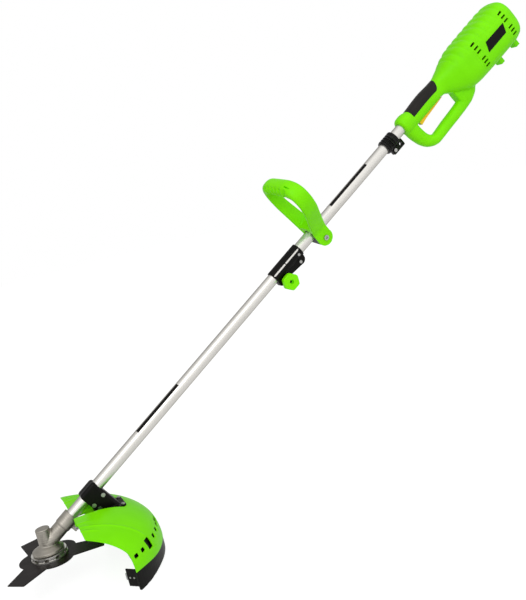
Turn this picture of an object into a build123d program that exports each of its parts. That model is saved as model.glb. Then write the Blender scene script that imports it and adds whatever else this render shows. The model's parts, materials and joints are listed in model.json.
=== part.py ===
from build123d import *
import os
from math import atan, cos, degrees, pi, radians, sin, tan

os.makedirs("parts", exist_ok=True)

# Driving dimensions, in millimetres and degrees

# Frame: the spindle is the Z axis, the shaft leans back from it towards +X
shaft_lean = 58.0
crossing_height = 52.0

# Clearances on the radius: turning or sliding fits, and pieces that seat firmly
run_gap = 0.05
seat_gap = 0.02

# Spindle and what hangs on it, from the free tip upwards
tip_radius = 4.0
tip_length = 9.0
thread_radius = 5.0
thread_below_nut = 2.0
nut_height = 9.0
nut_across_flats = 17.0
nut_flange_radius = 12.0
nut_flange_height = 2.0
washer_radius = 24.0
washer_thickness = 4.0
journal_radius = 6.0
collar_radius = 8.0
collar_height = 2.0

# Cutting blade
blade_radius = 117.0
blade_thickness = 2.0
blade_hole_radius = 12.7
blade_notch_radius = 59.0
blade_bulge_radius = 65.0
blade_arms = 3
blade_arm_angle = -16.0
blade_tip_half_angle = 10.0
blade_notch_half_angle = 29.0

# Adapter cup between spindle and blade
adapter_radius = 38.0
adapter_plate = 3.0
adapter_rim_outer = 37.0
adapter_rim_inner = 32.0
adapter_height = 10.5
adapter_hub_radius = 9.0
adapter_hub_height = 7.0
adapter_boss_height = 1.6
adapter_notches = 10
adapter_notch_width = 9.0
adapter_notch_height = 5.0

# Gear case
case_boss_radius = 18.0
case_flange_radius = 33.0
case_flange_gap = 1.5
case_flange_thickness = 5.0
case_flare_height = 9.0
case_barrel_radius = 15.0
case_bore_radius = 12.6
case_bore_floor = 57.0
case_top = 85.0
case_neck_radius = 16.0
case_neck_step = 48.0
case_mouth_radius = 17.4
case_mouth_end = 77.0
case_ear_start = 56.0
case_ear_length = 18.0
case_ear_drop = 29.0
case_ear_half_width = 8.0
case_slit = 2.0
case_screw_radius = 2.5
cap_dome = 3.0

# Ball bearings: bore radius, outer radius and width
lower_bearing = (6.0, 14.0, 8.0)
upper_bearing = (5.0, 9.5, 5.0)
shaft_bearing = (4.0, 11.0, 7.0)
circlip_thickness = 1.2
circlip_depth = 1.0
circlip_ring = 2.2
circlip_opening = 5.0

# Bevel gears
pinion_teeth = 13
wheel_teeth = 17
gear_cone_distance = 20.0
gear_face_width = 7.5
gear_tooth_share = 0.40
gear_addendum_share = 0.75
gear_dedendum_share = 1.05
gear_pressure_angle = 20.0

# Tubes, drive rods and bushes, as stations along the shaft from the crossing
tube_radius = 13.0
tube_wall = 1.5
lower_tube_start = 41.0
tube_joint = 778.0
tube_joint_gap = 2.0
upper_tube_end = 1243.0
rod_radius = 4.0
rod_square = 5.6
pinion_bearing_station = 30.0
pinion_socket_start = 40.0
pinion_socket_length = 14.0
pinion_socket_radius = 7.0
rod_joint = 788.0
rod_socket_radius = 8.0
rod_socket_length = 26.0
bush_length = 22.0
lower_bush_stations = (150.0, 390.0, 640.0)
upper_bush_stations = (900.0, 1130.0)

# Guard bracket
bracket_start = 115.0
bracket_end = 157.0
bracket_wall = 3.5
bracket_half_width = 16.5
bracket_foot_half_width = 28.0
bracket_foot_thickness = 4.0
bracket_foot_front = 112.0
bracket_foot_rear = 176.0
bracket_screw_radius = 2.5
bracket_screw_places = ((149.0, -18.0), (121.0, -18.5), (124.0, -32.0))
guard_screw_radius = 2.0
guard_screw_inset = 6.0
guard_screw_head = 3.8
guard_screw_head_height = 2.4

# Guard hood, an ellipse turned about the spindle and trimmed in plan
guard_rim_radius = 233.0
guard_crown_radius = 98.0
guard_rim_height = 5.0
guard_rise = 91.0
guard_wall = 3.0
guard_front = 63.0
guard_front_half_width = 139.0
guard_tip_x = 126.0
guard_tip_y = 196.0
guard_channel_half_width = 33.0
guard_channel_floor = 79.0
guard_channel_end = 182.0
guard_notch_half_width = 20.5
guard_notch_depth = 29.0
guard_slot_height = 31.0
guard_slot_size = 7.0
guard_slot_angles = (-50.0, -44.0, -29.0, -22.0, -16.0, 16.0, 22.0, 29.0, 44.0, 50.0)
guard_slot_length = 12.0
guard_window_angles = (-37.0, 37.0)
guard_window_size = 18.0

# Skirt under the guard's rim and its line knife
skirt_drop = 38.0
skirt_wall = 3.0
skirt_rise = 35.0
skirt_half_angle = 54.3
skirt_gap = 0.3
skirt_wing_length = 34.0
knife_length = 30.0
knife_height = 14.0
knife_thickness = 1.5
knife_overhang = 6.0
knife_screw_radius = 2.0
knife_screw_spots = (13.0, 23.0)

# Shaft coupler
coupler_start = 738.0
coupler_end = 827.0
coupler_radius = 16.0
coupler_split = 1.5
coupler_cheek = 10.0
coupler_ear = (811.0, -15.0, 13.0)
coupler_boss = (757.0, -29.0, 10.0)
coupler_window_low = 4.2
coupler_window_high = 7.4
coupler_window_bridge = 2.5
coupler_screw_radius = 2.0
coupler_boss_reach = 14.0
coupler_screw_place = (808.0, -20.0)
coupler_bolt_radius = 3.0
knob_gap = 0.4
knob_radius = 20.5
knob_corner_round = 5.0
knob_hollow_radius = 18.0
knob_hollow_depth = 1.4
knob_thickness = 13.0
knob_socket = 8.0
knob_socket_depth = 7.0
clamp_nut_size = 10.0
clamp_nut_height = 5.0

# Front loop handle
loop_station = 868.0
loop_width = 38.0
liner_thickness = 2.0
liner_inset = 1.0
loop_turn = 12.0
loop_bolt = (887.0, -20.5)
loop_bolt_radius = 3.0
loop_lobe_radius = 19.5
loop_cheek = 7.5
loop_waist = 24.0
loop_knee = (58.0, 70.0)
loop_shoulder = (69.0, 106.0)
loop_crown = (60.0, 155.0)
loop_arm = 10.0
loop_grip_depth = 33.0
loop_bridge = 7.0
loop_edge_round = 4.0

# Strap collar, with its lug, eye and screw measured down from the tube's skin
collar_start = 1141.0
collar_end = 1178.0
strap_collar_wall = 4.0
strap_lug_end = 1188.0
strap_lug_start = 1150.0
strap_lug_depth = 17.0
strap_lug_half_width = 5.0
strap_eye_station = 1179.0
strap_eye_depth = 9.0
strap_eye_radius = 4.0
collar_screw_station = 1158.0
collar_screw_depth = 9.0
collar_screw_radius = 2.5
collar_slit = 1.0
collar_ribs = 5
collar_rib_height = 0.8

# Rear housing: station, width, height, middle height and corner of each section
housing_wall = 3.0
housing_sections = (
    (1338.0, 36.0, 42.0, -2.0, 16.0),
    (1372.0, 64.0, 72.0, -11.0, 27.0),
    (1408.0, 94.0, 101.0, -16.0, 37.0),
    (1440.0, 102.0, 107.0, -15.0, 38.0),
    (1566.0, 102.0, 107.0, -15.0, 38.0),
    (1590.0, 92.0, 99.0, -14.5, 35.0),
    (1601.0, 70.0, 82.0, -14.5, 28.0),
)
grip_front = 1205.0
grip_width = 36.0
grip_height = 42.0
grip_middle = -2.0
grip_corner = 16.0
grip_ring_radius = 23.0
grip_ring_length = 39.0
grip_ring_round = 9.0
bail_half_width = 14.0
bail_edge_round = 9.0
bail_outline = (
    (1206.0, 0.0),
    (1206.0, -42.0),
    (1226.0, -84.0),
    (1248.0, -95.5),
    (1390.0, -92.0),
    (1424.0, -70.0),
    (1424.0, 0.0),
)
bail_outline_round = 9.0
bail_opening = ((1244.0, -23.0), (1342.0, -23.0), (1346.0, -57.0), (1341.0, -64.5), (1244.0, -70.0))
bail_opening_round = 6.0
bail_pocket = (1266.0, 1374.0, -86.0, -73.0, 8.0)
hook_stations = (1516.0, 1576.0)
hook_length = 13.0
hook_half_width = 12.0
hook_drop = 88.0
vent_stations = (1457.0, 1563.0)
vent_heights = (17.0, 6.0, -5.0, -24.0, -34.0, -44.0)
vent_length = 12.0
vent_width = 4.0
case_screw_places = (
    (1222.0, -36.0),
    (1254.0, -79.0),
    (1384.0, -79.0),
    (1428.5, -52.0),
    (1581.5, -45.0),
    (1581.5, 16.0),
)
case_screw_shank = 1.6
case_screw_head = 3.4
case_screw_head_height = 2.5
case_screw_reach = 9.0
case_screw_seat = 8.0

# Grip inlay
inlay_start = 1252.0
inlay_end = 1342.0
inlay_depth = 2.4
inlay_proud = 0.8
inlay_floor = 7.0

# Trigger, its pin, spring and switch
trigger_half_width = 6.5
trigger_side_gap = 0.8
trigger_spring_seat = -19.5
trigger_outline = (
    (1249.0, trigger_spring_seat),
    (1261.0, trigger_spring_seat),
    (1263.0, -17.0),
    (1322.0, -17.0),
    (1329.0, -12.5),
    (1334.0, -14.0),
    (1334.5, -24.0),
    (1310.0, -26.0),
    (1268.0, -29.0),
    (1251.0, -32.0),
)
trigger_pivot = (1329.0, -18.0)
trigger_pin_radius = 2.0
trigger_slot_start = 1245.5
trigger_slot_end = 1338.0
trigger_spring_station = 1256.0
trigger_spring_top = -8.0
trigger_spring_radius = 3.2
trigger_spring_turns = 5
trigger_spring_wire = 1.0
switch_start = 1276.0
switch_length = 30.0
switch_low = -11.5
switch_high = -5.0
switch_side_gap = 1.1

# Motor, as stations along the shaft
stator_start = 1474.0
stator_end = 1536.0
stator_radius = 31.0
stator_bore = 20.0
coil_overhang = 9.0
coil_radius = 28.0
core_radius = 19.2
winding_radius = 16.5
winding_overhang = 11.0
commutator_start = 1552.0
commutator_length = 16.0
commutator_radius = 11.0
brush_size = 7.0
brush_length = 13.0
brush_gap = 0.3
holder_wall = 1.5
holder_end = 27.0
fan_start = 1442.0
fan_length = 15.0
fan_radius = 29.0
fan_blades = 11
fan_plate = 2.0
fan_hub_radius = 9.0
motor_front_bearing = 1425.0
motor_rear_bearing = 1578.0
armature_end = 1587.0
stator_ribs = (1480.0, 1526.0)
stator_rib_width = 5.0
sleeve_start = 1398.0
sleeve_end = 1424.0
sleeve_radius = 8.0

# Cord gland in the rear wall
gland_height = -45.0
gland_radius = 9.0
gland_bore = 4.2
gland_start = 1586.0
gland_end = 1604.0

# Planes and places worked out from the driving dimensions

shaft_along = (sin(radians(shaft_lean)), 0, cos(radians(shaft_lean)))
side_plane = Plane(origin=(0, 0, crossing_height), x_dir=shaft_along, z_dir=(0, -1, 0))
base = (Align.CENTER, Align.CENTER, Align.MIN)

nut_bottom = tip_length + thread_below_nut
washer_bottom = nut_bottom + nut_height
blade_bottom = washer_bottom + washer_thickness
blade_seat = blade_bottom + blade_thickness
shoulder_height = blade_seat + adapter_hub_height
lower_bearing_height = shoulder_height + 1.0
spindle_collar_height = lower_bearing_height + lower_bearing[2]
case_flange_height = blade_seat + adapter_height + case_flange_gap
case_bottom = shoulder_height - 2.0
gear_angle = radians(shaft_lean)
pinion_cone = degrees(atan(sin(gear_angle) / (wheel_teeth / pinion_teeth + cos(gear_angle))))
wheel_cone = shaft_lean - pinion_cone
gear_module = 2 * gear_cone_distance * sin(radians(pinion_cone)) / pinion_teeth
wheel_back = gear_cone_distance
wheel_front = (gear_cone_distance - gear_face_width) * cos(radians(wheel_cone)) - 1.0
upper_bearing_height = crossing_height + wheel_back
spindle_top = upper_bearing_height + upper_bearing[2]


def across(station, height=0.0):
    """Plane square to the shaft at a station along it, x to the right hand and y up."""
    origin = side_plane.from_local_coords((station, height, 0))
    return Plane(origin=origin, x_dir=(0, 1, 0), z_dir=shaft_along)


def crosswise(station, height, right=0.0):
    """Plane square to Y at a point of the shaft's side view, facing the left hand."""
    origin = side_plane.from_local_coords((station, height, -right))
    return Plane(origin=origin, x_dir=shaft_along, z_dir=(0, -1, 0))


def turned(plane):
    """Plane carried round the shaft to the left, as far as the front handle is turned."""
    swing = Location((0, 0, crossing_height)) * Location((0, 0, 0), shaft_along, loop_turn)
    return Plane(swing * Location((0, 0, -crossing_height)) * plane.location)


def polar(radius, angle):
    """Point of the XY plane at a radius and an angle in degrees."""
    return (radius * cos(radians(angle)), radius * sin(radians(angle)))


def ball_bearing(plane, size):
    """Outer ring with its loose balls, and inner ring, of a ball bearing that stands on a plane."""
    bore, outer, width = size
    ball = 0.28 * (outer - bore)
    pitch = (outer + bore) / 2
    land = 0.45 * ball
    balls = int(0.72 * pi * pitch / ball)
    with BuildPart(plane) as outer_ring:
        Cylinder(outer - seat_gap, width, align=base)
        Cylinder(pitch + land, width, align=base, mode=Mode.SUBTRACT)
        with Locations((0, 0, width / 2)):
            Torus(pitch, ball + run_gap, mode=Mode.SUBTRACT)
        with Locations((0, 0, width / 2)):
            with PolarLocations(pitch, balls):
                Sphere(ball)
    with BuildPart(plane) as inner_ring:
        Cylinder(pitch - land, width, align=base)
        Cylinder(bore + seat_gap, width, align=base, mode=Mode.SUBTRACT)
        with Locations((0, 0, width / 2)):
            Torus(pitch, ball + run_gap, mode=Mode.SUBTRACT)
    return outer_ring, inner_ring


def toothed_cone(teeth, cone, front, back, turn):
    """Straight bevel gear with its cone's apex at the origin and its axis along +Z."""
    addendum = gear_addendum_share * gear_module
    dedendum = gear_dedendum_share * gear_module
    slope = tan(radians(gear_pressure_angle))
    half = gear_tooth_share * pi * gear_module / 2
    root = radians(cone) - atan(dedendum / gear_cone_distance)
    inner = gear_cone_distance - gear_face_width
    line = Vector(sin(radians(cone)), 0, cos(radians(cone)))
    with BuildPart() as tooth:
        for distance in (gear_cone_distance, inner):
            share = distance / gear_cone_distance
            with BuildSketch(Plane(origin=line * distance, x_dir=(0, 1, 0), z_dir=line)):
                with BuildLine():
                    Polyline(
                        (share * (half + dedendum * slope), share * dedendum * 1.2),
                        (share * (half - addendum * slope), -share * addendum),
                        (-share * (half - addendum * slope), -share * addendum),
                        (-share * (half + dedendum * slope), share * dedendum * 1.2),
                        close=True,
                    )
                make_face()
        loft(ruled=True)
    with BuildPart() as gear:
        with BuildSketch(Plane.XZ):
            with BuildLine():
                Polyline(
                    (0, front),
                    (inner * sin(root), inner * cos(root)),
                    (gear_cone_distance * sin(root), gear_cone_distance * cos(root)),
                    (gear_cone_distance * sin(root), back),
                    (0, back),
                    close=True,
                )
            make_face()
        revolve(axis=Axis.Z)
        with PolarLocations(0, teeth, start_angle=turn):
            add(tooth.part)
    return gear.part


# Spindle with its threaded end, bearing journal and gear seat
with BuildPart() as spindle:
    Cylinder(tip_radius, tip_length, align=base)
    with Locations((0, 0, tip_length)):
        Cylinder(thread_radius, spindle_top - tip_length, align=base)
    with Locations((0, 0, shoulder_height)):
        Cylinder(journal_radius, crossing_height + wheel_front - shoulder_height, align=base)
    with Locations((0, 0, spindle_collar_height)):
        Cylinder(collar_radius, collar_height, align=base)

# Bevel wheel on the spindle's upper end, teeth down, one tooth space at the pinion
wheel_frame = Plane(origin=(0, 0, crossing_height), x_dir=(1, 0, 0), z_dir=(0, 0, 1))
wheel_blank = toothed_cone(wheel_teeth, wheel_cone, wheel_front, wheel_back, 180 / wheel_teeth)
with BuildPart() as bevel_wheel:
    add(wheel_frame.location * wheel_blank)
    Cylinder(thread_radius + seat_gap, 2 * spindle_top, mode=Mode.SUBTRACT)

# Bevel pinion with its stub shaft and the square socket for the drive rod
pinion_frame = Plane(origin=(0, 0, crossing_height), x_dir=across(0).y_dir, z_dir=shaft_along)
pinion_front = (gear_cone_distance - gear_face_width) * cos(radians(pinion_cone))
pinion_back = gear_cone_distance + 2.0
pinion_blank = toothed_cone(pinion_teeth, pinion_cone, pinion_front, pinion_back, 0)
with BuildPart() as bevel_pinion:
    add(pinion_frame.location * pinion_blank)
    with Locations(across(pinion_back)):
        Cylinder(rod_radius, pinion_socket_start - pinion_back, align=base)
    with Locations(across(pinion_socket_start)):
        Cylinder(pinion_socket_radius, pinion_socket_length, align=base)
    with Locations(across(pinion_socket_start + 2)):
        Box(
            rod_square + 2 * run_gap,
            rod_square + 2 * run_gap,
            pinion_socket_length,
            align=base,
            mode=Mode.SUBTRACT,
        )

# Bearings of the head
lower_plane = Plane.XY.offset(lower_bearing_height)
upper_plane = Plane.XY.offset(upper_bearing_height)
lower_outer, lower_inner = ball_bearing(lower_plane, lower_bearing)
upper_outer, upper_inner = ball_bearing(upper_plane, upper_bearing)
pinion_outer, pinion_inner = ball_bearing(across(pinion_bearing_station), shaft_bearing)
with BuildPart() as head_bearing_outers:
    add(lower_outer.part)
    add(upper_outer.part)
    add(pinion_outer.part)
with BuildPart() as spindle_bearing_inners:
    add(lower_inner.part)
    add(upper_inner.part)
with BuildPart() as pinion_bearing_inner:
    add(pinion_inner.part)

# Snap ring under the lower bearing
circlip_height = lower_bearing_height - circlip_thickness
with BuildPart() as bearing_circlip:
    with BuildSketch(Plane.XY.offset(circlip_height)):
        Circle(lower_bearing[1] + circlip_depth - run_gap)
        Circle(lower_bearing[1] - circlip_ring, mode=Mode.SUBTRACT)
        with Locations((-lower_bearing[1], 0)):
            Rectangle(4 * circlip_ring, circlip_opening, mode=Mode.SUBTRACT)
    extrude(amount=circlip_thickness)

# Cast gear case: spindle barrel, flared flange, and neck that clamps the tube
with BuildPart() as gear_case:
    with Locations((0, 0, case_bottom)):
        Cylinder(case_boss_radius, case_flange_height - case_bottom, align=base)
    with Locations((0, 0, case_flange_height)):
        Cylinder(case_flange_radius, case_flange_thickness, align=base)
    with Locations((0, 0, case_flange_height + case_flange_thickness)):
        Cone(case_flange_radius - 1, case_barrel_radius, case_flare_height, align=base)
        Cylinder(
            case_barrel_radius,
            case_top - case_flange_height - case_flange_thickness,
            align=base,
        )
    with Locations(across(0)):
        Cylinder(case_neck_radius, case_neck_step, align=base)
    with Locations(across(case_neck_step)):
        Cylinder(case_mouth_radius, case_mouth_end - case_neck_step, align=base)
    with Locations(across(case_ear_start)):
        Box(
            2 * case_ear_half_width,
            case_ear_drop,
            case_ear_length,
            align=(Align.CENTER, Align.MAX, Align.MIN),
        )
    with Locations((0, 0, case_bottom)):
        Cylinder(
            lower_bearing[1], spindle_collar_height - case_bottom, align=base, mode=Mode.SUBTRACT
        )
    with Locations((0, 0, circlip_height)):
        Cylinder(
            lower_bearing[1] + circlip_depth, circlip_thickness, align=base, mode=Mode.SUBTRACT
        )
    with Locations((0, 0, spindle_collar_height)):
        Cylinder(
            collar_radius + 1.5,
            case_bore_floor - spindle_collar_height,
            align=base,
            mode=Mode.SUBTRACT,
        )
    with Locations((0, 0, case_bore_floor)):
        Cylinder(case_bore_radius, case_top - case_bore_floor, align=base, mode=Mode.SUBTRACT)
    with Locations(across(pinion_front - 2)):
        Cylinder(
            shaft_bearing[1] - 0.4,
            pinion_bearing_station - pinion_front + 2,
            align=base,
            mode=Mode.SUBTRACT,
        )
    with Locations(across(pinion_bearing_station)):
        Cylinder(shaft_bearing[1], case_mouth_end, align=base, mode=Mode.SUBTRACT)
    with Locations(across(lower_tube_start - 1)):
        Cylinder(tube_radius + seat_gap, case_mouth_end, align=base, mode=Mode.SUBTRACT)
    with Locations(across(case_neck_step + 4)):
        Box(
            case_slit,
            2 * case_ear_drop,
            case_mouth_end,
            align=(Align.CENTER, Align.MAX, Align.MIN),
            mode=Mode.SUBTRACT,
        )
    with Locations((0, 0, case_top)):
        Cylinder(case_barrel_radius + seat_gap, case_neck_step, align=base, mode=Mode.SUBTRACT)
    ear_hole = (case_ear_start + case_ear_length / 2, -(case_mouth_radius + case_ear_drop) / 2)
    with Locations(crosswise(*ear_hole)):
        Cylinder(case_screw_radius + seat_gap, 4 * case_ear_half_width, mode=Mode.SUBTRACT)

# Pinch screw through the neck's ears
with BuildPart() as neck_screw:
    with Locations(crosswise(*ear_hole, right=case_ear_half_width)):
        Cylinder(case_screw_radius, 2 * case_ear_half_width + 3, align=base)
    with Locations(crosswise(*ear_hole, right=-case_ear_half_width)):
        Cylinder(2 * case_screw_radius, 4.5, align=base)
    with BuildSketch(crosswise(*ear_hole, right=-case_ear_half_width - 1.5)):
        RegularPolygon(1.2 * case_screw_radius, 6)
    extrude(amount=4, mode=Mode.SUBTRACT)

# Plug that closes the barrel and holds the upper bearing
with BuildPart() as gear_case_cap:
    with Locations((0, 0, upper_bearing_height)):
        Cylinder(case_bore_radius - seat_gap, case_top - upper_bearing_height, align=base)
    with Locations((0, 0, case_top)):
        Cylinder(case_barrel_radius, cap_dome, align=base)
    fillet(gear_case_cap.edges().sort_by(Axis.Z)[-1], 0.7 * cap_dome)
    with Locations((0, 0, upper_bearing_height)):
        Cylinder(upper_bearing[1], upper_bearing[2], align=base, mode=Mode.SUBTRACT)
        Cylinder(thread_radius + 1, upper_bearing[2] + 2, align=base, mode=Mode.SUBTRACT)

# Adapter cup that seats and centres the blade, with notches round its rim
with BuildPart() as blade_adapter:
    with Locations((0, 0, blade_seat)):
        Cylinder(adapter_radius, adapter_plate, align=base)
        Cylinder(adapter_rim_outer, adapter_height, align=base)
    with Locations((0, 0, blade_seat + adapter_plate)):
        Cylinder(
            adapter_rim_inner, adapter_height - adapter_plate, align=base, mode=Mode.SUBTRACT
        )
        Cylinder(adapter_hub_radius, adapter_hub_height - adapter_plate, align=base)
    with Locations((0, 0, blade_seat - adapter_boss_height)):
        Cylinder(blade_hole_radius - run_gap, adapter_boss_height, align=base)
    with Locations((0, 0, blade_seat + adapter_plate)):
        with PolarLocations(adapter_rim_outer, adapter_notches):
            Box(
                4 * (adapter_rim_outer - adapter_rim_inner),
                adapter_notch_width,
                adapter_notch_height,
                align=base,
                mode=Mode.SUBTRACT,
            )
    Cylinder(thread_radius + seat_gap, 4 * blade_seat, mode=Mode.SUBTRACT)

# Three-armed steel blade
arm_pitch = 360 / blade_arms
with BuildPart() as blade:
    with BuildSketch(Plane.XY.offset(blade_bottom)):
        with BuildLine():
            for arm in range(blade_arms):
                middle = blade_arm_angle + arm * arm_pitch
                notch_before = polar(blade_notch_radius, middle - blade_notch_half_angle)
                notch_after = polar(blade_notch_radius, middle + blade_notch_half_angle)
                notch_next = polar(
                    blade_notch_radius, middle + arm_pitch - blade_notch_half_angle
                )
                Polyline(
                    notch_before,
                    polar(blade_radius, middle - blade_tip_half_angle),
                    polar(blade_radius, middle + blade_tip_half_angle),
                    notch_after,
                )
                bulge = polar(blade_bulge_radius, middle + arm_pitch / 2)
                ThreePointArc(notch_after, bulge, notch_next)
        make_face()
        Circle(blade_hole_radius, mode=Mode.SUBTRACT)
    extrude(amount=blade_thickness)

# Thick washer under the blade
with BuildPart() as blade_washer:
    with Locations((0, 0, washer_bottom)):
        Cylinder(washer_radius, washer_thickness, align=base)
    chamfer(blade_washer.edges().sort_by(Axis.Z)[0], washer_thickness / 3)
    Cylinder(thread_radius + seat_gap, 4 * blade_seat, mode=Mode.SUBTRACT)

# Flanged nut on the spindle's thread
with BuildPart() as blade_nut:
    with BuildSketch(Plane.XY.offset(nut_bottom)):
        RegularPolygon(nut_across_flats / 2, 6, major_radius=False)
    extrude(amount=nut_height)
    with Locations((0, 0, washer_bottom - nut_flange_height)):
        Cylinder(nut_flange_radius, nut_flange_height, align=base)
    Cylinder(thread_radius + seat_gap, 4 * blade_seat, mode=Mode.SUBTRACT)


def tube(start, end):
    """Length of the shaft's round tube."""
    with BuildPart() as pipe:
        with Locations(across(start)):
            Cylinder(tube_radius, end - start, align=base)
            Cylinder(tube_radius - tube_wall, end - start, align=base, mode=Mode.SUBTRACT)
    return pipe


def bushes(stations):
    """Liner bushes that carry the drive rod inside a tube."""
    with BuildPart() as liners:
        with Locations(*[across(station) for station in stations]):
            Cylinder(tube_radius - tube_wall - seat_gap, bush_length, align=base)
        with Locations(*[across(station) for station in stations]):
            Cylinder(rod_radius + run_gap, bush_length, align=base, mode=Mode.SUBTRACT)
    return liners


# Two halves of the shaft's tube, and the bushes in each
lower_tube = tube(lower_tube_start, tube_joint)
upper_tube = tube(tube_joint + tube_joint_gap, upper_tube_end)
lower_shaft_bushes = bushes(lower_bush_stations)
upper_shaft_bushes = bushes(upper_bush_stations)

# Lower drive rod with a square at each end
lower_rod_start = pinion_socket_start + 3
lower_round_start = pinion_socket_start + pinion_socket_length + 1
lower_round_end = rod_joint - rod_socket_length / 2 - 2
with BuildPart() as lower_drive_rod:
    with Locations(across(lower_rod_start)):
        Box(rod_square, rod_square, rod_joint - 4 - lower_rod_start, align=base)
    with Locations(across(lower_round_start)):
        Cylinder(rod_radius, lower_round_end - lower_round_start, align=base)

# Upper drive rod with the square socket that takes the lower one
upper_socket_start = rod_joint - rod_socket_length / 2
with BuildPart() as upper_drive_rod:
    with Locations(across(upper_socket_start)):
        Cylinder(rod_socket_radius, rod_socket_length, align=base)
    with Locations(across(upper_socket_start)):
        Cylinder(rod_radius, sleeve_start + 11 - upper_socket_start, align=base)
    with Locations(across(upper_socket_start)):
        Box(
            rod_square + 2 * run_gap,
            rod_square + 2 * run_gap,
            rod_socket_length - 8,
            align=base,
            mode=Mode.SUBTRACT,
        )

# Bracket under the tube that carries the guard, in two halves with a foot
bracket_top = tube_radius + bracket_wall
foot_top = guard_channel_floor + bracket_foot_thickness
foot_plane = Plane.XY.offset(guard_channel_floor)
foot_screw_grid = (
    bracket_foot_rear - bracket_foot_front - 2 * guard_screw_inset,
    2 * (bracket_foot_half_width - guard_screw_inset),
    2,
    2,
)


def drop_to(level, station):
    """Height below the shaft, in the side view, of a level plane at a station."""
    lean = radians(shaft_lean)
    return (level - crossing_height - station * cos(lean)) / sin(lean)


with BuildPart() as bracket:
    with BuildSketch(side_plane):
        with BuildLine():
            Polyline(
                (bracket_start, bracket_top),
                (bracket_end, bracket_top),
                (bracket_end, drop_to(guard_channel_floor, bracket_end)),
                (bracket_start, drop_to(guard_channel_floor, bracket_start)),
                close=True,
            )
        make_face()
    extrude(amount=bracket_half_width, both=True)
    fillet(bracket.edges().filter_by(lambda edge: edge.center().Z > crossing_height + 60), 7)
    with BuildSketch(foot_plane):
        with Locations(((bracket_foot_front + bracket_foot_rear) / 2, 0)):
            RectangleRounded(
                bracket_foot_rear - bracket_foot_front, 2 * bracket_foot_half_width, 6
            )
    extrude(amount=bracket_foot_thickness)
    with Locations(across(0)):
        Cylinder(tube_radius + seat_gap, 2 * bracket_end, align=base, mode=Mode.SUBTRACT)
    with Locations(*[crosswise(*place) for place in bracket_screw_places]):
        Cylinder(bracket_screw_radius + seat_gap, 4 * bracket_half_width, mode=Mode.SUBTRACT)
    with Locations(
        ((bracket_foot_front + bracket_foot_rear) / 2, 0, guard_channel_floor),
    ):
        with GridLocations(*foot_screw_grid):
            Cylinder(guard_screw_radius + seat_gap, 60, mode=Mode.SUBTRACT)

with BuildPart() as bracket_left:
    add(bracket.part)
    split(bisect_by=Plane.XZ.offset(0.5), keep=Keep.TOP)

with BuildPart() as bracket_right:
    add(bracket.part)
    split(bisect_by=Plane.XZ.offset(-0.5), keep=Keep.BOTTOM)

# Cross screws of the bracket, heads on the left
with BuildPart() as bracket_screws:
    with Locations(*[crosswise(*place, right=bracket_half_width) for place in bracket_screw_places]):
        Cylinder(bracket_screw_radius, 2 * bracket_half_width, align=base)
    with Locations(*[crosswise(*place, right=-bracket_half_width) for place in bracket_screw_places]):
        Cylinder(1.8 * bracket_screw_radius, 2.6, align=base)

def hood(inset):
    """Solid under the guard's ellipse, drawn in by a wall, with the bracket's channel cut out."""
    with BuildPart() as dome:
        with BuildSketch(Plane.XZ):
            with BuildLine():
                Line((0, guard_rim_height), (guard_rim_radius - inset, guard_rim_height))
                EllipticalCenterArc(
                    (guard_crown_radius, guard_rim_height),
                    guard_rim_radius - guard_crown_radius - inset,
                    guard_rise - inset,
                    start_angle=0,
                    arc_size=90,
                )
                Line(
                    (guard_crown_radius, guard_rim_height + guard_rise - inset),
                    (0, guard_rim_height + guard_rise - inset),
                )
                Line((0, guard_rim_height + guard_rise - inset), (0, guard_rim_height))
            make_face()
        revolve(axis=Axis.Z)
        with Locations((0, 0, guard_channel_floor - inset)):
            Box(
                guard_channel_end + inset,
                2 * (guard_channel_half_width + inset),
                guard_rise,
                align=(Align.MIN, Align.CENTER, Align.MIN),
                mode=Mode.SUBTRACT,
            )
    return dome


# Moulded guard: thin hood, open in front, with clip slots above the rim
with BuildPart() as guard:
    add(hood(0).part)
    add(hood(guard_wall).part, mode=Mode.SUBTRACT)
    with BuildSketch(Plane.XY):
        with BuildLine():
            Polyline(
                (guard_front, guard_front_half_width),
                (guard_tip_x, guard_tip_y),
                (2 * guard_rim_radius, guard_tip_y),
                (2 * guard_rim_radius, -guard_tip_y),
                (guard_tip_x, -guard_tip_y),
                (guard_front, -guard_front_half_width),
                close=True,
            )
        make_face()
        with Locations((guard_front, 0)):
            Rectangle(2 * guard_notch_depth, 2 * guard_notch_half_width, mode=Mode.SUBTRACT)
    extrude(amount=guard_rim_height + guard_rise, mode=Mode.INTERSECT)
    with Locations((0, 0, guard_slot_height)):
        with Locations(
            *[
                Location((*polar(guard_rim_radius, angle), 0), (0, 0, angle))
                for angle in guard_slot_angles
            ]
        ):
            Box(60, guard_slot_length, guard_slot_size, mode=Mode.SUBTRACT)
        with Locations(
            *[
                Location((*polar(guard_rim_radius, angle), 0), (0, 0, angle))
                for angle in guard_window_angles
            ]
        ):
            Box(60, guard_window_size, guard_window_size, mode=Mode.SUBTRACT)
    with Locations(((bracket_foot_front + bracket_foot_rear) / 2, 0, guard_channel_floor)):
        with GridLocations(*foot_screw_grid):
            Cylinder(guard_screw_radius + seat_gap, 4 * guard_wall, mode=Mode.SUBTRACT)

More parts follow.
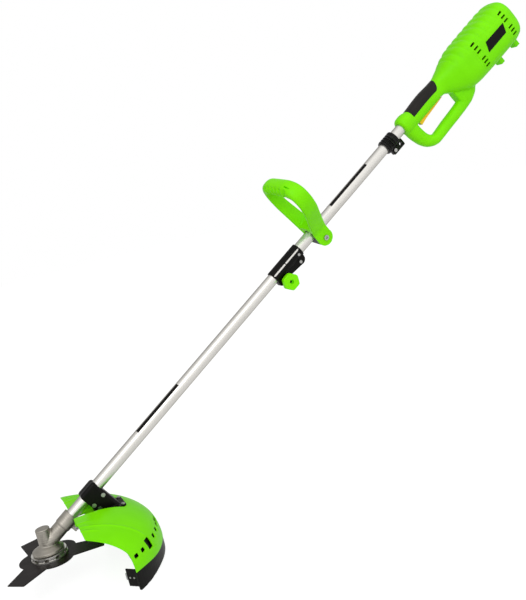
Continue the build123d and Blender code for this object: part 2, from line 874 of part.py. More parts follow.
# Black skirt clipped inside the rim, with a wing at its left end for the knife
skirt_top = guard_rim_height + skirt_rise
ellipse_share = (1 - (skirt_rise / (guard_rise - guard_wall)) ** 2) ** 0.5
skirt_top_radius = (
    guard_crown_radius
    + (guard_rim_radius - guard_crown_radius - guard_wall) * ellipse_share
    - skirt_gap
)
skirt_seat_radius = guard_rim_radius - guard_wall - skirt_gap - 0.5
skirt_bottom = guard_rim_height - skirt_drop
wing_angle = 3 - skirt_half_angle
wing_root = (*polar(skirt_seat_radius - skirt_wall + 1, wing_angle), skirt_bottom)
wing_place = Location(wing_root, (0, 0, wing_angle)) * Location(
    (0, 0, (skirt_drop - skirt_gap) / 2)
)
knife_tip = -skirt_wing_length - knife_overhang
knife_screw_holes = [
    wing_place * Location((knife_tip + spot, 0, 0), (90, 0, 0)) for spot in knife_screw_spots
]
with BuildPart() as guard_skirt:
    with BuildSketch(Plane.XZ):
        with BuildLine():
            Polyline(
                (guard_rim_radius - 1, skirt_bottom),
                (guard_rim_radius - 1, guard_rim_height - skirt_gap),
                (skirt_seat_radius, guard_rim_height - skirt_gap),
                (skirt_top_radius - skirt_gap, skirt_top),
                (skirt_top_radius - skirt_gap - skirt_wall, skirt_top),
                (skirt_seat_radius - skirt_wall, guard_rim_height - skirt_gap),
                (skirt_seat_radius - skirt_wall, skirt_bottom),
                close=True,
            )
        make_face()
    revolve(axis=Axis.Z)
    with BuildSketch(Plane.XY.offset(skirt_bottom)):
        with BuildLine():
            Polyline(
                (0, 0),
                polar(2 * guard_rim_radius, -skirt_half_angle),
                (3 * guard_rim_radius, 0),
                polar(2 * guard_rim_radius, skirt_half_angle),
                close=True,
            )
        make_face()
    extrude(amount=guard_rise + skirt_drop, mode=Mode.INTERSECT)
    with Locations(wing_place):
        Box(
            skirt_wing_length,
            skirt_wall,
            skirt_drop - skirt_gap,
            align=(Align.MAX, Align.CENTER, Align.CENTER),
        )
    with Locations(*knife_screw_holes):
        Cylinder(knife_screw_radius + seat_gap, 4 * skirt_wall, mode=Mode.SUBTRACT)

# Line knife on the wing's inner face
with BuildPart() as line_knife:
    with Locations(wing_place * Location((knife_tip, skirt_wall / 2, 0))):
        Box(
            knife_length,
            knife_thickness,
            knife_height,
            align=(Align.MIN, Align.MIN, Align.CENTER),
        )
    with Locations(*knife_screw_holes):
        Cylinder(knife_screw_radius + seat_gap, 8 * skirt_wall, mode=Mode.SUBTRACT)

# Screws of the guard: four down into the bracket's foot, two that hold the knife
knife_face = skirt_wall / 2 + knife_thickness
with BuildPart() as guard_screws:
    with Locations(((bracket_foot_front + bracket_foot_rear) / 2, 0, 0)):
        with GridLocations(*foot_screw_grid):
            with Locations((0, 0, guard_channel_floor - guard_wall - 2)):
                Cylinder(guard_screw_radius, guard_wall + 2 + bracket_foot_thickness, align=base)
            with Locations((0, 0, foot_top)):
                Cylinder(guard_screw_head, guard_screw_head_height, align=base)
    with Locations(*[hole * Location((0, 0, -knife_face)) for hole in knife_screw_holes]):
        Cylinder(knife_screw_radius, knife_face + skirt_wall / 2, align=base)
    with Locations(
        *[
            hole * Location((0, 0, -knife_face - guard_screw_head_height))
            for hole in knife_screw_holes
        ]
    ):
        Cylinder(guard_screw_head, guard_screw_head_height, align=base)

# Coupler shells that join the two tubes, with a sight window along each side
with BuildPart() as coupler:
    with Locations(across(coupler_start)):
        Cylinder(coupler_radius, coupler_end - coupler_start, align=base)
    with BuildSketch(side_plane):
        with Locations(coupler_ear[:2]):
            Circle(coupler_ear[2])
        with Locations(coupler_boss[:2]):
            Circle(coupler_boss[2])
        with BuildLine():
            Polyline(
                (coupler_start, 0),
                (coupler_end, 0),
                (coupler_ear[0] + coupler_ear[2], coupler_ear[1]),
                (coupler_ear[0], coupler_ear[1] - coupler_ear[2]),
                (coupler_boss[0] + 18, coupler_boss[1] + 5),
                (coupler_boss[0], coupler_boss[1] - coupler_boss[2]),
                (coupler_start, coupler_boss[1] + 6),
                close=True,
            )
        make_face()
    extrude(amount=coupler_cheek, both=True)
    with Locations(crosswise(*coupler_boss[:2])):
        Cylinder(coupler_boss[2], coupler_boss_reach, align=base)
    with Locations(across(0)):
        Cylinder(tube_radius + run_gap, 2 * coupler_end, align=base, mode=Mode.SUBTRACT)
    with Locations(across((coupler_start + coupler_end) / 2)):
        with Locations((0, (coupler_window_low + coupler_window_high) / 2)):
            Box(
                4 * coupler_radius,
                coupler_window_high - coupler_window_low,
                coupler_end - coupler_start - 2 * coupler_window_bridge,
                mode=Mode.SUBTRACT,
            )
    with Locations(crosswise(*coupler_screw_place)):
        Cylinder(coupler_screw_radius + seat_gap, 4 * coupler_radius, mode=Mode.SUBTRACT)
    with Locations(crosswise(*coupler_boss[:2])):
        Cylinder(coupler_bolt_radius + run_gap, 4 * coupler_radius, mode=Mode.SUBTRACT)

with BuildPart() as coupler_left:
    add(coupler.part)
    split(bisect_by=Plane.XZ.offset(coupler_split / 2), keep=Keep.TOP)

with BuildPart() as coupler_right:
    add(coupler.part)
    split(bisect_by=Plane.XZ.offset(-coupler_split / 2), keep=Keep.BOTTOM)

# Screw that holds the coupler on the upper tube
with BuildPart() as coupler_screw:
    with Locations(crosswise(*coupler_screw_place, right=coupler_cheek + 2)):
        Cylinder(coupler_screw_radius, 2 * coupler_cheek + 2, align=base)
    with Locations(crosswise(*coupler_screw_place, right=-coupler_cheek)):
        Cylinder(1.8 * coupler_screw_radius, 2.4, align=base)

# Six-cornered clamp knob with hollowed sides and a socket in its face
knob_flat = knob_radius * cos(radians(30))
knob_plane = crosswise(*coupler_boss[:2], right=-coupler_boss_reach - knob_gap)
with BuildPart() as clamp_knob:
    with BuildSketch(knob_plane) as clamp_knob_face:
        RegularPolygon(knob_radius, 6)
        fillet(clamp_knob_face.vertices(), knob_corner_round)
        with PolarLocations(knob_flat + knob_hollow_radius - knob_hollow_depth, 6, start_angle=30):
            Circle(knob_hollow_radius, mode=Mode.SUBTRACT)
    extrude(amount=knob_thickness)
    fillet(clamp_knob.faces().sort_by(Axis.Y)[0].edges(), 1.5)
    with BuildSketch(knob_plane.offset(knob_thickness - knob_socket_depth)):
        RegularPolygon(knob_socket / 2, 6, major_radius=False)
    extrude(amount=knob_socket_depth, mode=Mode.SUBTRACT)
    with Locations(knob_plane):
        Cylinder(
            coupler_bolt_radius + seat_gap,
            knob_thickness - knob_socket_depth,
            align=base,
            mode=Mode.SUBTRACT,
        )

# Bolt of the knob, and the square nut it turns in
clamp_bolt_end = coupler_cheek + clamp_nut_height + 1
with BuildPart() as clamp_bolt:
    with Locations(crosswise(*coupler_boss[:2], right=clamp_bolt_end)):
        Cylinder(
            coupler_bolt_radius,
            clamp_bolt_end + coupler_boss_reach + knob_gap + knob_thickness - knob_socket_depth,
            align=base,
        )
with BuildPart() as clamp_nut:
    with Locations(crosswise(*coupler_boss[:2], right=coupler_cheek + clamp_nut_height)):
        Box(clamp_nut_size, clamp_nut_size, clamp_nut_height, align=base)
        Cylinder(coupler_bolt_radius + run_gap, clamp_nut_height, align=base, mode=Mode.SUBTRACT)

# Rubber liner of the front handle, on the tube
liner_radius = tube_radius + liner_thickness
with BuildPart() as handle_liner:
    with Locations(across(loop_station + liner_inset)):
        Cylinder(liner_radius, loop_width - 2 * liner_inset, align=base)
        Cylinder(
            tube_radius + run_gap,
            loop_width - 2 * liner_inset,
            align=base,
            mode=Mode.SUBTRACT,
        )

# Front loop handle: two splayed arms, a grip across the top and a bridge over the tube
clamp_radius = liner_radius + run_gap
cheek_inner = loop_waist - loop_cheek
loop_foot = loop_bolt[1]
with BuildPart() as loop_handle:
    with BuildSketch(turned(across(loop_station))):
        with BuildLine():
            FilletPolyline(
                (loop_waist, loop_foot),
                (loop_waist, 2),
                loop_knee,
                loop_shoulder,
                loop_crown,
                (-loop_crown[0], loop_crown[1]),
                (-loop_shoulder[0], loop_shoulder[1]),
                (-loop_knee[0], loop_knee[1]),
                (-loop_waist, 2),
                (-loop_waist, loop_foot),
                close=True,
                radius=[1, 30, 40, 24, 24, 24, 24, 40, 30, 1],
            )
        make_face()
        with BuildLine():
            FilletPolyline(
                (loop_waist, clamp_radius + loop_bridge),
                (loop_knee[0] - loop_arm, loop_knee[1]),
                (loop_shoulder[0] - loop_arm, loop_shoulder[1]),
                (loop_crown[0] - loop_arm, loop_crown[1] - loop_grip_depth),
                (loop_arm - loop_crown[0], loop_crown[1] - loop_grip_depth),
                (loop_arm - loop_shoulder[0], loop_shoulder[1]),
                (loop_arm - loop_knee[0], loop_knee[1]),
                (-loop_waist, clamp_radius + loop_bridge),
                close=True,
                radius=7,
            )
        make_face(mode=Mode.SUBTRACT)
    extrude(amount=loop_width)
    loop_faces = loop_handle.faces().sort_by(Axis((0, 0, 0), shaft_along))
    fillet(loop_faces[0].edges() + loop_faces[-1].edges(), loop_edge_round)
    with Locations(
        *[turned(crosswise(*loop_bolt, right=side)) for side in (loop_waist, -cheek_inner)]
    ):
        Cylinder(loop_lobe_radius, loop_cheek, align=base)
    with Locations(turned(across(loop_station))):
        Box(
            2 * cheek_inner,
            6 * loop_lobe_radius,
            4 * loop_width,
            align=(Align.CENTER, Align.MAX, Align.CENTER),
            mode=Mode.SUBTRACT,
        )
        Cylinder(clamp_radius, 4 * loop_width, mode=Mode.SUBTRACT)
    with Locations(turned(crosswise(*loop_bolt))):
        Cylinder(loop_bolt_radius + seat_gap, 4 * loop_waist, mode=Mode.SUBTRACT)

# Clamp block under the tube, between the handle's cheeks
block_top = -4.0
with BuildPart() as handle_clamp_block:
    with BuildSketch(turned(side_plane)):
        with BuildLine():
            Polyline(
                (loop_station + 2, block_top),
                (loop_station + loop_width - 2, block_top),
                (loop_station + loop_width - 2, loop_foot - 9),
                (loop_station + 2, loop_foot - 9),
                close=True,
            )
        make_face()
    extrude(amount=cheek_inner - seat_gap, both=True)
    with Locations(turned(across(loop_station))):
        Cylinder(clamp_radius, 4 * loop_width, mode=Mode.SUBTRACT)
    with Locations(turned(crosswise(*loop_bolt))):
        Cylinder(loop_bolt_radius + seat_gap, 4 * loop_waist, mode=Mode.SUBTRACT)

# Cross bolt of the front handle and its nut
with BuildPart() as handle_bolt:
    with Locations(turned(crosswise(*loop_bolt, right=loop_waist + 7))):
        Cylinder(loop_bolt_radius, 2 * loop_waist + 7, align=base)
    with Locations(turned(crosswise(*loop_bolt, right=-loop_waist))):
        Cylinder(2 * loop_bolt_radius, 3.5, align=base)
    with BuildSketch(turned(crosswise(*loop_bolt, right=-loop_waist - 1.2))):
        RegularPolygon(loop_bolt_radius, 6)
    extrude(amount=3, mode=Mode.SUBTRACT)
with BuildPart() as handle_nut:
    with BuildSketch(turned(crosswise(*loop_bolt, right=loop_waist + 5))):
        RegularPolygon(5, 6, major_radius=False)
        Circle(loop_bolt_radius + seat_gap, mode=Mode.SUBTRACT)
    extrude(amount=5)

# Split collar on the upper tube with the eye for a carrying strap
strap_lug_drop = tube_radius + strap_lug_depth
strap_eye = (strap_eye_station, -tube_radius - strap_eye_depth)
collar_screw_place = (collar_screw_station, -tube_radius - collar_screw_depth)
with BuildPart() as strap_collar:
    with Locations(across(collar_start)):
        Cylinder(tube_radius + strap_collar_wall, collar_end - collar_start, align=base)
    rib_pitch = (collar_end - collar_start) / collar_ribs
    with Locations(*[across(collar_start + rib_pitch * (rib + 0.3)) for rib in range(collar_ribs)]):
        Cylinder(
            tube_radius + strap_collar_wall + collar_rib_height, 0.5 * rib_pitch, align=base
        )
    with BuildSketch(side_plane):
        with BuildLine():
            FilletPolyline(
                (strap_lug_start, -tube_radius / 2),
                (collar_end, -tube_radius / 2),
                (strap_lug_end, -tube_radius),
                (strap_lug_end, -strap_lug_drop),
                (strap_lug_start, -strap_lug_drop),
                close=True,
                radius=3,
            )
        make_face()
    extrude(amount=strap_lug_half_width, both=True)
    with Locations(across(0)):
        Cylinder(tube_radius + seat_gap, 2 * collar_end, align=base, mode=Mode.SUBTRACT)
    with Locations(across(collar_start)):
        Box(
            collar_slit,
            2 * strap_lug_drop,
            collar_screw_place[0] + 2.5 * collar_screw_radius - collar_start,
            align=(Align.CENTER, Align.MAX, Align.MIN),
            mode=Mode.SUBTRACT,
        )
    with Locations(crosswise(*strap_eye)):
        Cylinder(strap_eye_radius, 4 * strap_lug_half_width, mode=Mode.SUBTRACT)
    with Locations(crosswise(*collar_screw_place)):
        Cylinder(collar_screw_radius + seat_gap, 4 * strap_lug_half_width, mode=Mode.SUBTRACT)

# Pinch screw of the strap collar
with BuildPart() as collar_screw:
    with Locations(crosswise(*collar_screw_place, right=strap_lug_half_width + 2)):
        Cylinder(collar_screw_radius, 2 * strap_lug_half_width + 2, align=base)
    with Locations(crosswise(*collar_screw_place, right=-strap_lug_half_width)):
        Cylinder(1.7 * collar_screw_radius, 2.8, align=base)


def housing_body(inset):
    """Motor end of the housing as a loft of rounded sections, drawn in by a wall."""
    with BuildPart() as shape:
        for station, width, height, middle, corner in housing_sections:
            last = station == housing_sections[-1][0]
            with BuildSketch(across(station - (inset if last else 0))):
                with Locations((0, middle)):
                    RectangleRounded(width - 2 * inset, height - 2 * inset, corner - inset)
        loft(ruled=True)
    return shape


# Soft inlay on the grip's back
with BuildPart() as grip_inlay:
    with BuildSketch(across(inlay_start)):
        with Locations((0, grip_middle)):
            RectangleRounded(
                grip_width + 2 * inlay_proud, grip_height + 2 * inlay_proud, grip_corner + inlay_proud
            )
            RectangleRounded(
                grip_width - 2 * inlay_depth,
                grip_height - 2 * inlay_depth,
                grip_corner - inlay_depth,
                mode=Mode.SUBTRACT,
            )
    extrude(amount=inlay_end - inlay_start)
    inlay_cut = Plane(
        origin=side_plane.from_local_coords((inlay_start, inlay_floor, 0)),
        x_dir=(0, 1, 0),
        z_dir=across(0).y_dir,
    )
    split(bisect_by=inlay_cut, keep=Keep.TOP)

# Motor space inside the housing, left standing where a rib carries a bearing or the stator
bearing_width = shaft_bearing[2]
with BuildPart() as motor_space:
    add(housing_body(housing_wall).part)
    with Locations(
        *[across(station - 1) for station in (motor_front_bearing, motor_rear_bearing)]
    ):
        Box(300, 300, bearing_width + 2, align=base, mode=Mode.SUBTRACT)
    with Locations(*[across(station) for station in stator_ribs]):
        Box(300, 300, stator_rib_width, align=base, mode=Mode.SUBTRACT)

# Rounded ring at the grip's front end
with BuildPart() as grip_ring:
    with Locations(across(grip_front)):
        Cylinder(grip_ring_radius, grip_ring_length, align=base)
    fillet(grip_ring.edges().filter_by(GeomType.CIRCLE), grip_ring_round)

# Whole rear housing before it is split into its two halves
grip_end = housing_sections[0][0]
with BuildPart() as housing:
    with BuildSketch(side_plane):
        with BuildLine():
            FilletPolyline(*bail_outline, close=True, radius=bail_outline_round)
        make_face()
        with BuildLine():
            FilletPolyline(*bail_opening, close=True, radius=bail_opening_round)
        make_face(mode=Mode.SUBTRACT)
    extrude(amount=bail_half_width, both=True)
    fillet(housing.faces().filter_by(Axis.Y).edges(), bail_edge_round / 2)
    with BuildSketch(across(grip_front)):
        with Locations((0, grip_middle)):
            RectangleRounded(grip_width, grip_height, grip_corner)
    extrude(amount=grip_end - grip_front)
    add(grip_ring.part)
    add(housing_body(0).part)
    with Locations(*[across(station) for station in hook_stations]):
        Box(
            2 * hook_half_width,
            hook_drop,
            hook_length,
            align=(Align.CENTER, Align.MAX, Align.CENTER),
        )
    add(motor_space.part, mode=Mode.SUBTRACT)
    with BuildSketch(across(upper_tube_end + 1)):
        with Locations((0, grip_middle)):
            RectangleRounded(
                grip_width - 2 * housing_wall,
                grip_height - 2 * housing_wall,
                grip_corner - housing_wall,
            )
    extrude(amount=grip_end - upper_tube_end, mode=Mode.SUBTRACT)
    with Locations(across(grip_front)):
        Cylinder(tube_radius + seat_gap, upper_tube_end - grip_front, align=base, mode=Mode.SUBTRACT)
        Cylinder(rod_radius + 3, 400, align=base, mode=Mode.SUBTRACT)
    with Locations(across(motor_front_bearing)):
        Cylinder(shaft_bearing[1], bearing_width + 2, align=base, mode=Mode.SUBTRACT)
    with Locations(across(motor_rear_bearing - 2)):
        Cylinder(shaft_bearing[1], bearing_width + 2, align=base, mode=Mode.SUBTRACT)
    with Locations(across(stator_start)):
        Cylinder(
            stator_radius + seat_gap, stator_end - stator_start, align=base, mode=Mode.SUBTRACT
        )
    pocket_start, pocket_end, pocket_low, pocket_high, pocket_half = bail_pocket
    with Locations(crosswise((pocket_start + pocket_end) / 2, (pocket_low + pocket_high) / 2)):
        Box(
            pocket_end - pocket_start,
            pocket_high - pocket_low,
            2 * pocket_half,
            mode=Mode.SUBTRACT,
        )
    slot_middle = (trigger_slot_start + trigger_slot_end) / 2
    with Locations(crosswise(slot_middle, grip_middle - grip_height / 2)):
        Box(
            trigger_slot_end - trigger_slot_start,
            4 * housing_wall,
            2 * (trigger_half_width + trigger_side_gap),
            mode=Mode.SUBTRACT,
        )
    with Locations(
        *[crosswise(station, height) for station in vent_stations for height in vent_heights]
    ):
        Box(vent_length, vent_width, 300, mode=Mode.SUBTRACT)
    with Locations(*[crosswise(*place, right=case_screw_seat) for place in case_screw_places]):
        Cylinder(
            case_screw_shank + seat_gap,
            case_screw_seat + case_screw_reach,
            align=base,
            mode=Mode.SUBTRACT,
        )
    with Locations(*[crosswise(*place, right=100) for place in case_screw_places]):
        Cylinder(
            case_screw_head + 0.4, 100 - case_screw_seat, align=base, mode=Mode.SUBTRACT
        )
    with Locations(crosswise(*trigger_pivot)):
        Cylinder(
            trigger_pin_radius + seat_gap, grip_width - 2 * housing_wall, mode=Mode.SUBTRACT
        )
    add(grip_inlay.part, mode=Mode.SUBTRACT)
    with Locations(across(gland_start, gland_height)):
        Cylinder(gland_radius, 100, align=base, mode=Mode.SUBTRACT)

with BuildPart() as housing_left:
    add(housing.part)
    split(bisect_by=Plane.XZ, keep=Keep.TOP)

with BuildPart() as housing_right:
    add(housing.part)
    split(bisect_by=Plane.XZ, keep=Keep.BOTTOM)

# Screws that close the housing, driven from the right
with BuildPart() as housing_screws:
    with Locations(*[crosswise(*place, right=case_screw_seat) for place in case_screw_places]):
        Cylinder(case_screw_shank, case_screw_seat + case_screw_reach - 1, align=base)
    with Locations(
        *[
            crosswise(*place, right=case_screw_seat + case_screw_head_height)
            for place in case_screw_places
        ]
    ):
        Cylinder(case_screw_head, case_screw_head_height, align=base)

# Trigger lever under the grip, on its cross pin
with BuildPart() as trigger:
    with BuildSketch(side_plane):
        with BuildLine():
            Polyline(*trigger_outline, close=True)
        make_face()
        with Locations(trigger_pivot):
            Circle(trigger_pin_radius + run_gap, mode=Mode.SUBTRACT)
    extrude(amount=trigger_half_width, both=True)

with BuildPart() as trigger_pin:
    with Locations(crosswise(*trigger_pivot)):
        Cylinder(trigger_pin_radius, grip_width - 2 * housing_wall - 1)

# Return spring between the trigger's front end and the grip
spring_low = trigger_spring_seat + run_gap
spring_pitch = (trigger_spring_top - spring_low) / trigger_spring_turns
with BuildPart() as trigger_spring:
    with BuildSketch(side_plane):
        with BuildLine():
            outline = [(trigger_spring_station + trigger_spring_radius - trigger_spring_wire, spring_low)]
            for turn in range(trigger_spring_turns):
                foot = spring_low + turn * spring_pitch
                outline.append((trigger_spring_station + trigger_spring_radius, foot))
                outline.append(
                    (trigger_spring_station + trigger_spring_radius, foot + 0.6 * spring_pitch)
                )
                outline.append(
                    (
                        trigger_spring_station + trigger_spring_radius - trigger_spring_wire / 2,
                        foot + 0.8 * spring_pitch,
                    )
                )
            outline.append(
                (trigger_spring_station + trigger_spring_radius - trigger_spring_wire, trigger_spring_top)
            )
            Polyline(*outline, close=True)
        make_face()
    spring_axis = Axis(
        side_plane.from_local_coords((trigger_spring_station, 0, 0)), across(0).y_dir
    )
    revolve(axis=spring_axis)

# Mains switch above the trigger, held between the grip's walls
switch_half_width = grip_width / 2 - housing_wall - switch_side_gap
with BuildPart() as power_switch:
    with Locations(
        crosswise(switch_start + switch_length / 2, (switch_low + switch_high) / 2)
    ):
        Box(switch_length, switch_high - switch_low, 2 * switch_half_width)

# Motor stator and its field coils
with BuildPart() as stator:
    with Locations(across(stator_start)):
        Cylinder(stator_radius, stator_end - stator_start, align=base)
        Cylinder(stator_bore, stator_end - stator_start, align=base, mode=Mode.SUBTRACT)
with BuildPart() as field_coils:
    for start in (stator_start - coil_overhang, stator_end):
        with Locations(across(start)):
            Cylinder(coil_radius, coil_overhang, align=base)
    with Locations(across(stator_start - coil_overhang)):
        Cylinder(
            stator_bore + 1,
            stator_end - stator_start + 2 * coil_overhang,
            align=base,
            mode=Mode.SUBTRACT,
        )

# Armature: shaft and core, its windings, and the commutator
shaft_start = sleeve_start + 13
with BuildPart() as armature:
    with Locations(across(shaft_start)):
        Cylinder(rod_radius, armature_end - shaft_start, align=base)
    with Locations(across(stator_start)):
        Cylinder(core_radius, stator_end - stator_start, align=base)
with BuildPart() as armature_windings:
    for start in (stator_start - winding_overhang, stator_end):
        with Locations(across(start)):
            Cylinder(winding_radius, winding_overhang, align=base)
    with Locations(across(stator_start - winding_overhang)):
        Cylinder(
            rod_radius + seat_gap,
            stator_end - stator_start + 2 * winding_overhang,
            align=base,
            mode=Mode.SUBTRACT,
        )
with BuildPart() as commutator:
    with Locations(across(commutator_start)):
        Cylinder(commutator_radius, commutator_length, align=base)
        Cylinder(rod_radius + seat_gap, commutator_length, align=base, mode=Mode.SUBTRACT)

# Carbon brushes beside the commutator, and their holders
brush_station = commutator_start + commutator_length / 2
brush_starts = commutator_radius + brush_gap
with BuildPart() as brushes:
    for side in (1, -1):
        with Locations(across(brush_station)):
            with Locations((side * (brush_starts + brush_length / 2), 0, 0)):
                Box(brush_length, brush_size, brush_size)
with BuildPart() as brush_holders:
    for side in (1, -1):
        with Locations(across(brush_station)):
            with Locations((side * (brush_starts + 3 + holder_end) / 2, 0, 0)):
                Box(
                    holder_end - brush_starts - 3,
                    brush_size + 2 * holder_wall,
                    brush_size + 2 * holder_wall,
                )
                Box(
                    2 * holder_end,
                    brush_size + 2 * seat_gap,
                    brush_size + 2 * seat_gap,
                    mode=Mode.SUBTRACT,
                )
    with Locations(across(brush_station)):
        Cylinder(brush_starts + 3, 60, mode=Mode.SUBTRACT)

# Cooling fan on the armature shaft
with BuildPart() as cooling_fan:
    with Locations(across(fan_start)):
        Cylinder(fan_hub_radius, fan_length, align=base)
        Cylinder(fan_radius, fan_plate, align=base)
        with PolarLocations((fan_hub_radius + fan_radius) / 2, fan_blades):
            Box(fan_radius - fan_hub_radius - 1, fan_plate, fan_length, align=base)
        Cylinder(rod_radius + seat_gap, fan_length, align=base, mode=Mode.SUBTRACT)

# Bearings of the motor shaft
front_outer, front_inner = ball_bearing(across(motor_front_bearing), shaft_bearing)
rear_outer, rear_inner = ball_bearing(across(motor_rear_bearing), shaft_bearing)
with BuildPart() as motor_bearing_outers:
    add(front_outer.part)
    add(rear_outer.part)
with BuildPart() as motor_bearing_inners:
    add(front_inner.part)
    add(rear_inner.part)

# Sleeve that joins the drive rod to the armature shaft
with BuildPart() as drive_sleeve:
    with Locations(across(sleeve_start)):
        Cylinder(sleeve_radius, sleeve_end - sleeve_start, align=base)
        Cylinder(
            rod_radius + seat_gap, sleeve_end - sleeve_start, align=base, mode=Mode.SUBTRACT
        )

# Gland for the supply cord in the rear wall
with BuildPart() as cord_gland:
    with Locations(across(gland_start, gland_height)):
        Cylinder(gland_radius - seat_gap, gland_end - gland_start, align=base)
        Cylinder(gland_bore, gland_end - gland_start, align=base, mode=Mode.SUBTRACT)

# Each piece is labelled and written to a file of its own
pieces = {
    "spindle": spindle,
    "bevel_wheel": bevel_wheel,
    "bevel_pinion": bevel_pinion,
    "head_bearing_outers": head_bearing_outers,
    "spindle_bearing_inners": spindle_bearing_inners,
    "pinion_bearing_inner": pinion_bearing_inner,
    "bearing_circlip": bearing_circlip,
    "gear_case": gear_case,
    "gear_case_cap": gear_case_cap,
    "neck_screw": neck_screw,
    "blade_adapter": blade_adapter,
    "blade": blade,
    "blade_washer": blade_washer,
    "blade_nut": blade_nut,
    "lower_tube": lower_tube,
    "upper_tube": upper_tube,
    "lower_shaft_bushes": lower_shaft_bushes,
    "upper_shaft_bushes": upper_shaft_bushes,
    "lower_drive_rod": lower_drive_rod,
    "upper_drive_rod": upper_drive_rod,
    "bracket_left": bracket_left,
    "bracket_right": bracket_right,
    "bracket_screws": bracket_screws,
    "guard": guard,
    "guard_skirt": guard_skirt,
    "line_knife": line_knife,
    "guard_screws": guard_screws,
    "coupler_left": coupler_left,
    "coupler_right": coupler_right,
    "coupler_screw": coupler_screw,
    "clamp_knob": clamp_knob,
    "clamp_bolt": clamp_bolt,
    "clamp_nut": clamp_nut,
    "handle_liner": handle_liner,
    "loop_handle": loop_handle,
    "handle_clamp_block": handle_clamp_block,
    "handle_bolt": handle_bolt,
    "handle_nut": handle_nut,
    "strap_collar": strap_collar,
    "collar_screw": collar_screw,
    "housing_left": housing_left,
    "housing_right": housing_right,
    "housing_screws": housing_screws,
    "grip_inlay": grip_inlay,
    "trigger": trigger,
    "trigger_pin": trigger_pin,
    "trigger_spring": trigger_spring,
    "power_switch": power_switch,
    "stator": stator,
    "field_coils": field_coils,
    "armature": armature,
    "armature_windings": armature_windings,
    "commutator": commutator,
    "brushes": brushes,
    "brush_holders": brush_holders,
    "cooling_fan": cooling_fan,
    "motor_bearing_outers": motor_bearing_outers,
    "motor_bearing_inners": motor_bearing_inners,
    "drive_sleeve": drive_sleeve,
    "cord_gland": cord_gland,
}
for name, piece in pieces.items():
    piece.part.label = name
    export_step(piece.part, f"parts/{name}.step")
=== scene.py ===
import json
from math import cos, pi, radians, sin

import bmesh
import bpy
import numpy
from mathutils import Matrix, Vector


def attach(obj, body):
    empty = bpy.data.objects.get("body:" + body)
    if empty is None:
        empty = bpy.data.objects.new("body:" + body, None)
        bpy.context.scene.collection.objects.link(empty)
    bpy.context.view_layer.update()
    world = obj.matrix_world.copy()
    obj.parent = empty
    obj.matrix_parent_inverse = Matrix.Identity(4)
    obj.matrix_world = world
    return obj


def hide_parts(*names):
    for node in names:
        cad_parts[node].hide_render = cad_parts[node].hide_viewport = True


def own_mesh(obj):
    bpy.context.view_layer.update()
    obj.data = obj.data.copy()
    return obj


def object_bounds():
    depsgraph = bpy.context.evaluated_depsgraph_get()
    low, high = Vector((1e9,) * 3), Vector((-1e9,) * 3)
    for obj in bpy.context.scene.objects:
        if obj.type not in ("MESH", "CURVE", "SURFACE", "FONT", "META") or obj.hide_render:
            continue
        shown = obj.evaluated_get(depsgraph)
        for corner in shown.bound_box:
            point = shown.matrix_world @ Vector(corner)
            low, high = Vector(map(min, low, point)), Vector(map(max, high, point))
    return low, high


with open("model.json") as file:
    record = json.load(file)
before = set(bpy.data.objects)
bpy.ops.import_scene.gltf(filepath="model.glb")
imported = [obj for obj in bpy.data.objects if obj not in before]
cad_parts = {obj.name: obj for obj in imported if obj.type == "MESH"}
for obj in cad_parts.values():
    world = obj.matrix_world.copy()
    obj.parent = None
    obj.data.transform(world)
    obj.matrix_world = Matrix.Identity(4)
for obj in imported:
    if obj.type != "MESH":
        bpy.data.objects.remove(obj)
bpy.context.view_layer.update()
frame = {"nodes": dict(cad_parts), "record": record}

# The drive inside the tubes and the gear case: hardened steel gears, ball bearings and rods,
# turned and ground, held by press fits and a snap ring. Oil leaves soft darker patches on them.


def plain_finish(
    name, tone, shade, roughness, metallic=0.0, shine=0.5, patch=0.05, grain=0.0005, depth=0.00003
):
    """Material of two close tones in soft patches, with a drifting roughness and a fine grain."""
    drift = 0.06
    material = bpy.data.materials.new(name)
    material.use_nodes = True
    tree = material.node_tree
    shader = tree.nodes["Principled BSDF"]
    shader.inputs["Metallic"].default_value = metallic
    shader.inputs["Specular IOR Level"].default_value = shine
    place = tree.nodes.new("ShaderNodeTexCoord")
    place.name = "Place"
    patches = tree.nodes.new("ShaderNodeTexNoise")
    patches.inputs["Scale"].default_value = 1 / patch
    patches.inputs["Detail"].default_value = 4
    tones = tree.nodes.new("ShaderNodeValToRGB")
    tones.color_ramp.elements[0].position = 0.3
    tones.color_ramp.elements[0].color = (*shade, 1)
    tones.color_ramp.elements[1].position = 0.7
    tones.color_ramp.elements[1].color = (*tone, 1)
    gloss = tree.nodes.new("ShaderNodeMapRange")
    gloss.inputs["To Min"].default_value = roughness + drift
    gloss.inputs["To Max"].default_value = roughness - drift
    specks = tree.nodes.new("ShaderNodeTexNoise")
    specks.inputs["Scale"].default_value = 1 / grain
    specks.inputs["Detail"].default_value = 2
    relief = tree.nodes.new("ShaderNodeBump")
    relief.name = "Relief"
    relief.inputs["Strength"].default_value = 1.0
    relief.inputs["Distance"].default_value = depth
    tree.links.new(place.outputs["Object"], patches.inputs["Vector"])
    tree.links.new(place.outputs["Object"], specks.inputs["Vector"])
    tree.links.new(patches.outputs["Fac"], tones.inputs["Fac"])
    tree.links.new(tones.outputs["Color"], shader.inputs["Base Color"])
    tree.links.new(patches.outputs["Fac"], gloss.inputs["Value"])
    tree.links.new(gloss.outputs["Result"], shader.inputs["Roughness"])
    tree.links.new(specks.outputs["Fac"], relief.inputs["Height"])
    tree.links.new(relief.outputs["Normal"], shader.inputs["Normal"])
    return material


def dress(material, *names):
    """Gives a material to pieces that keep their own solid."""
    for name in names:
        for slot in frame["nodes"][name].material_slots:
            slot.material = material


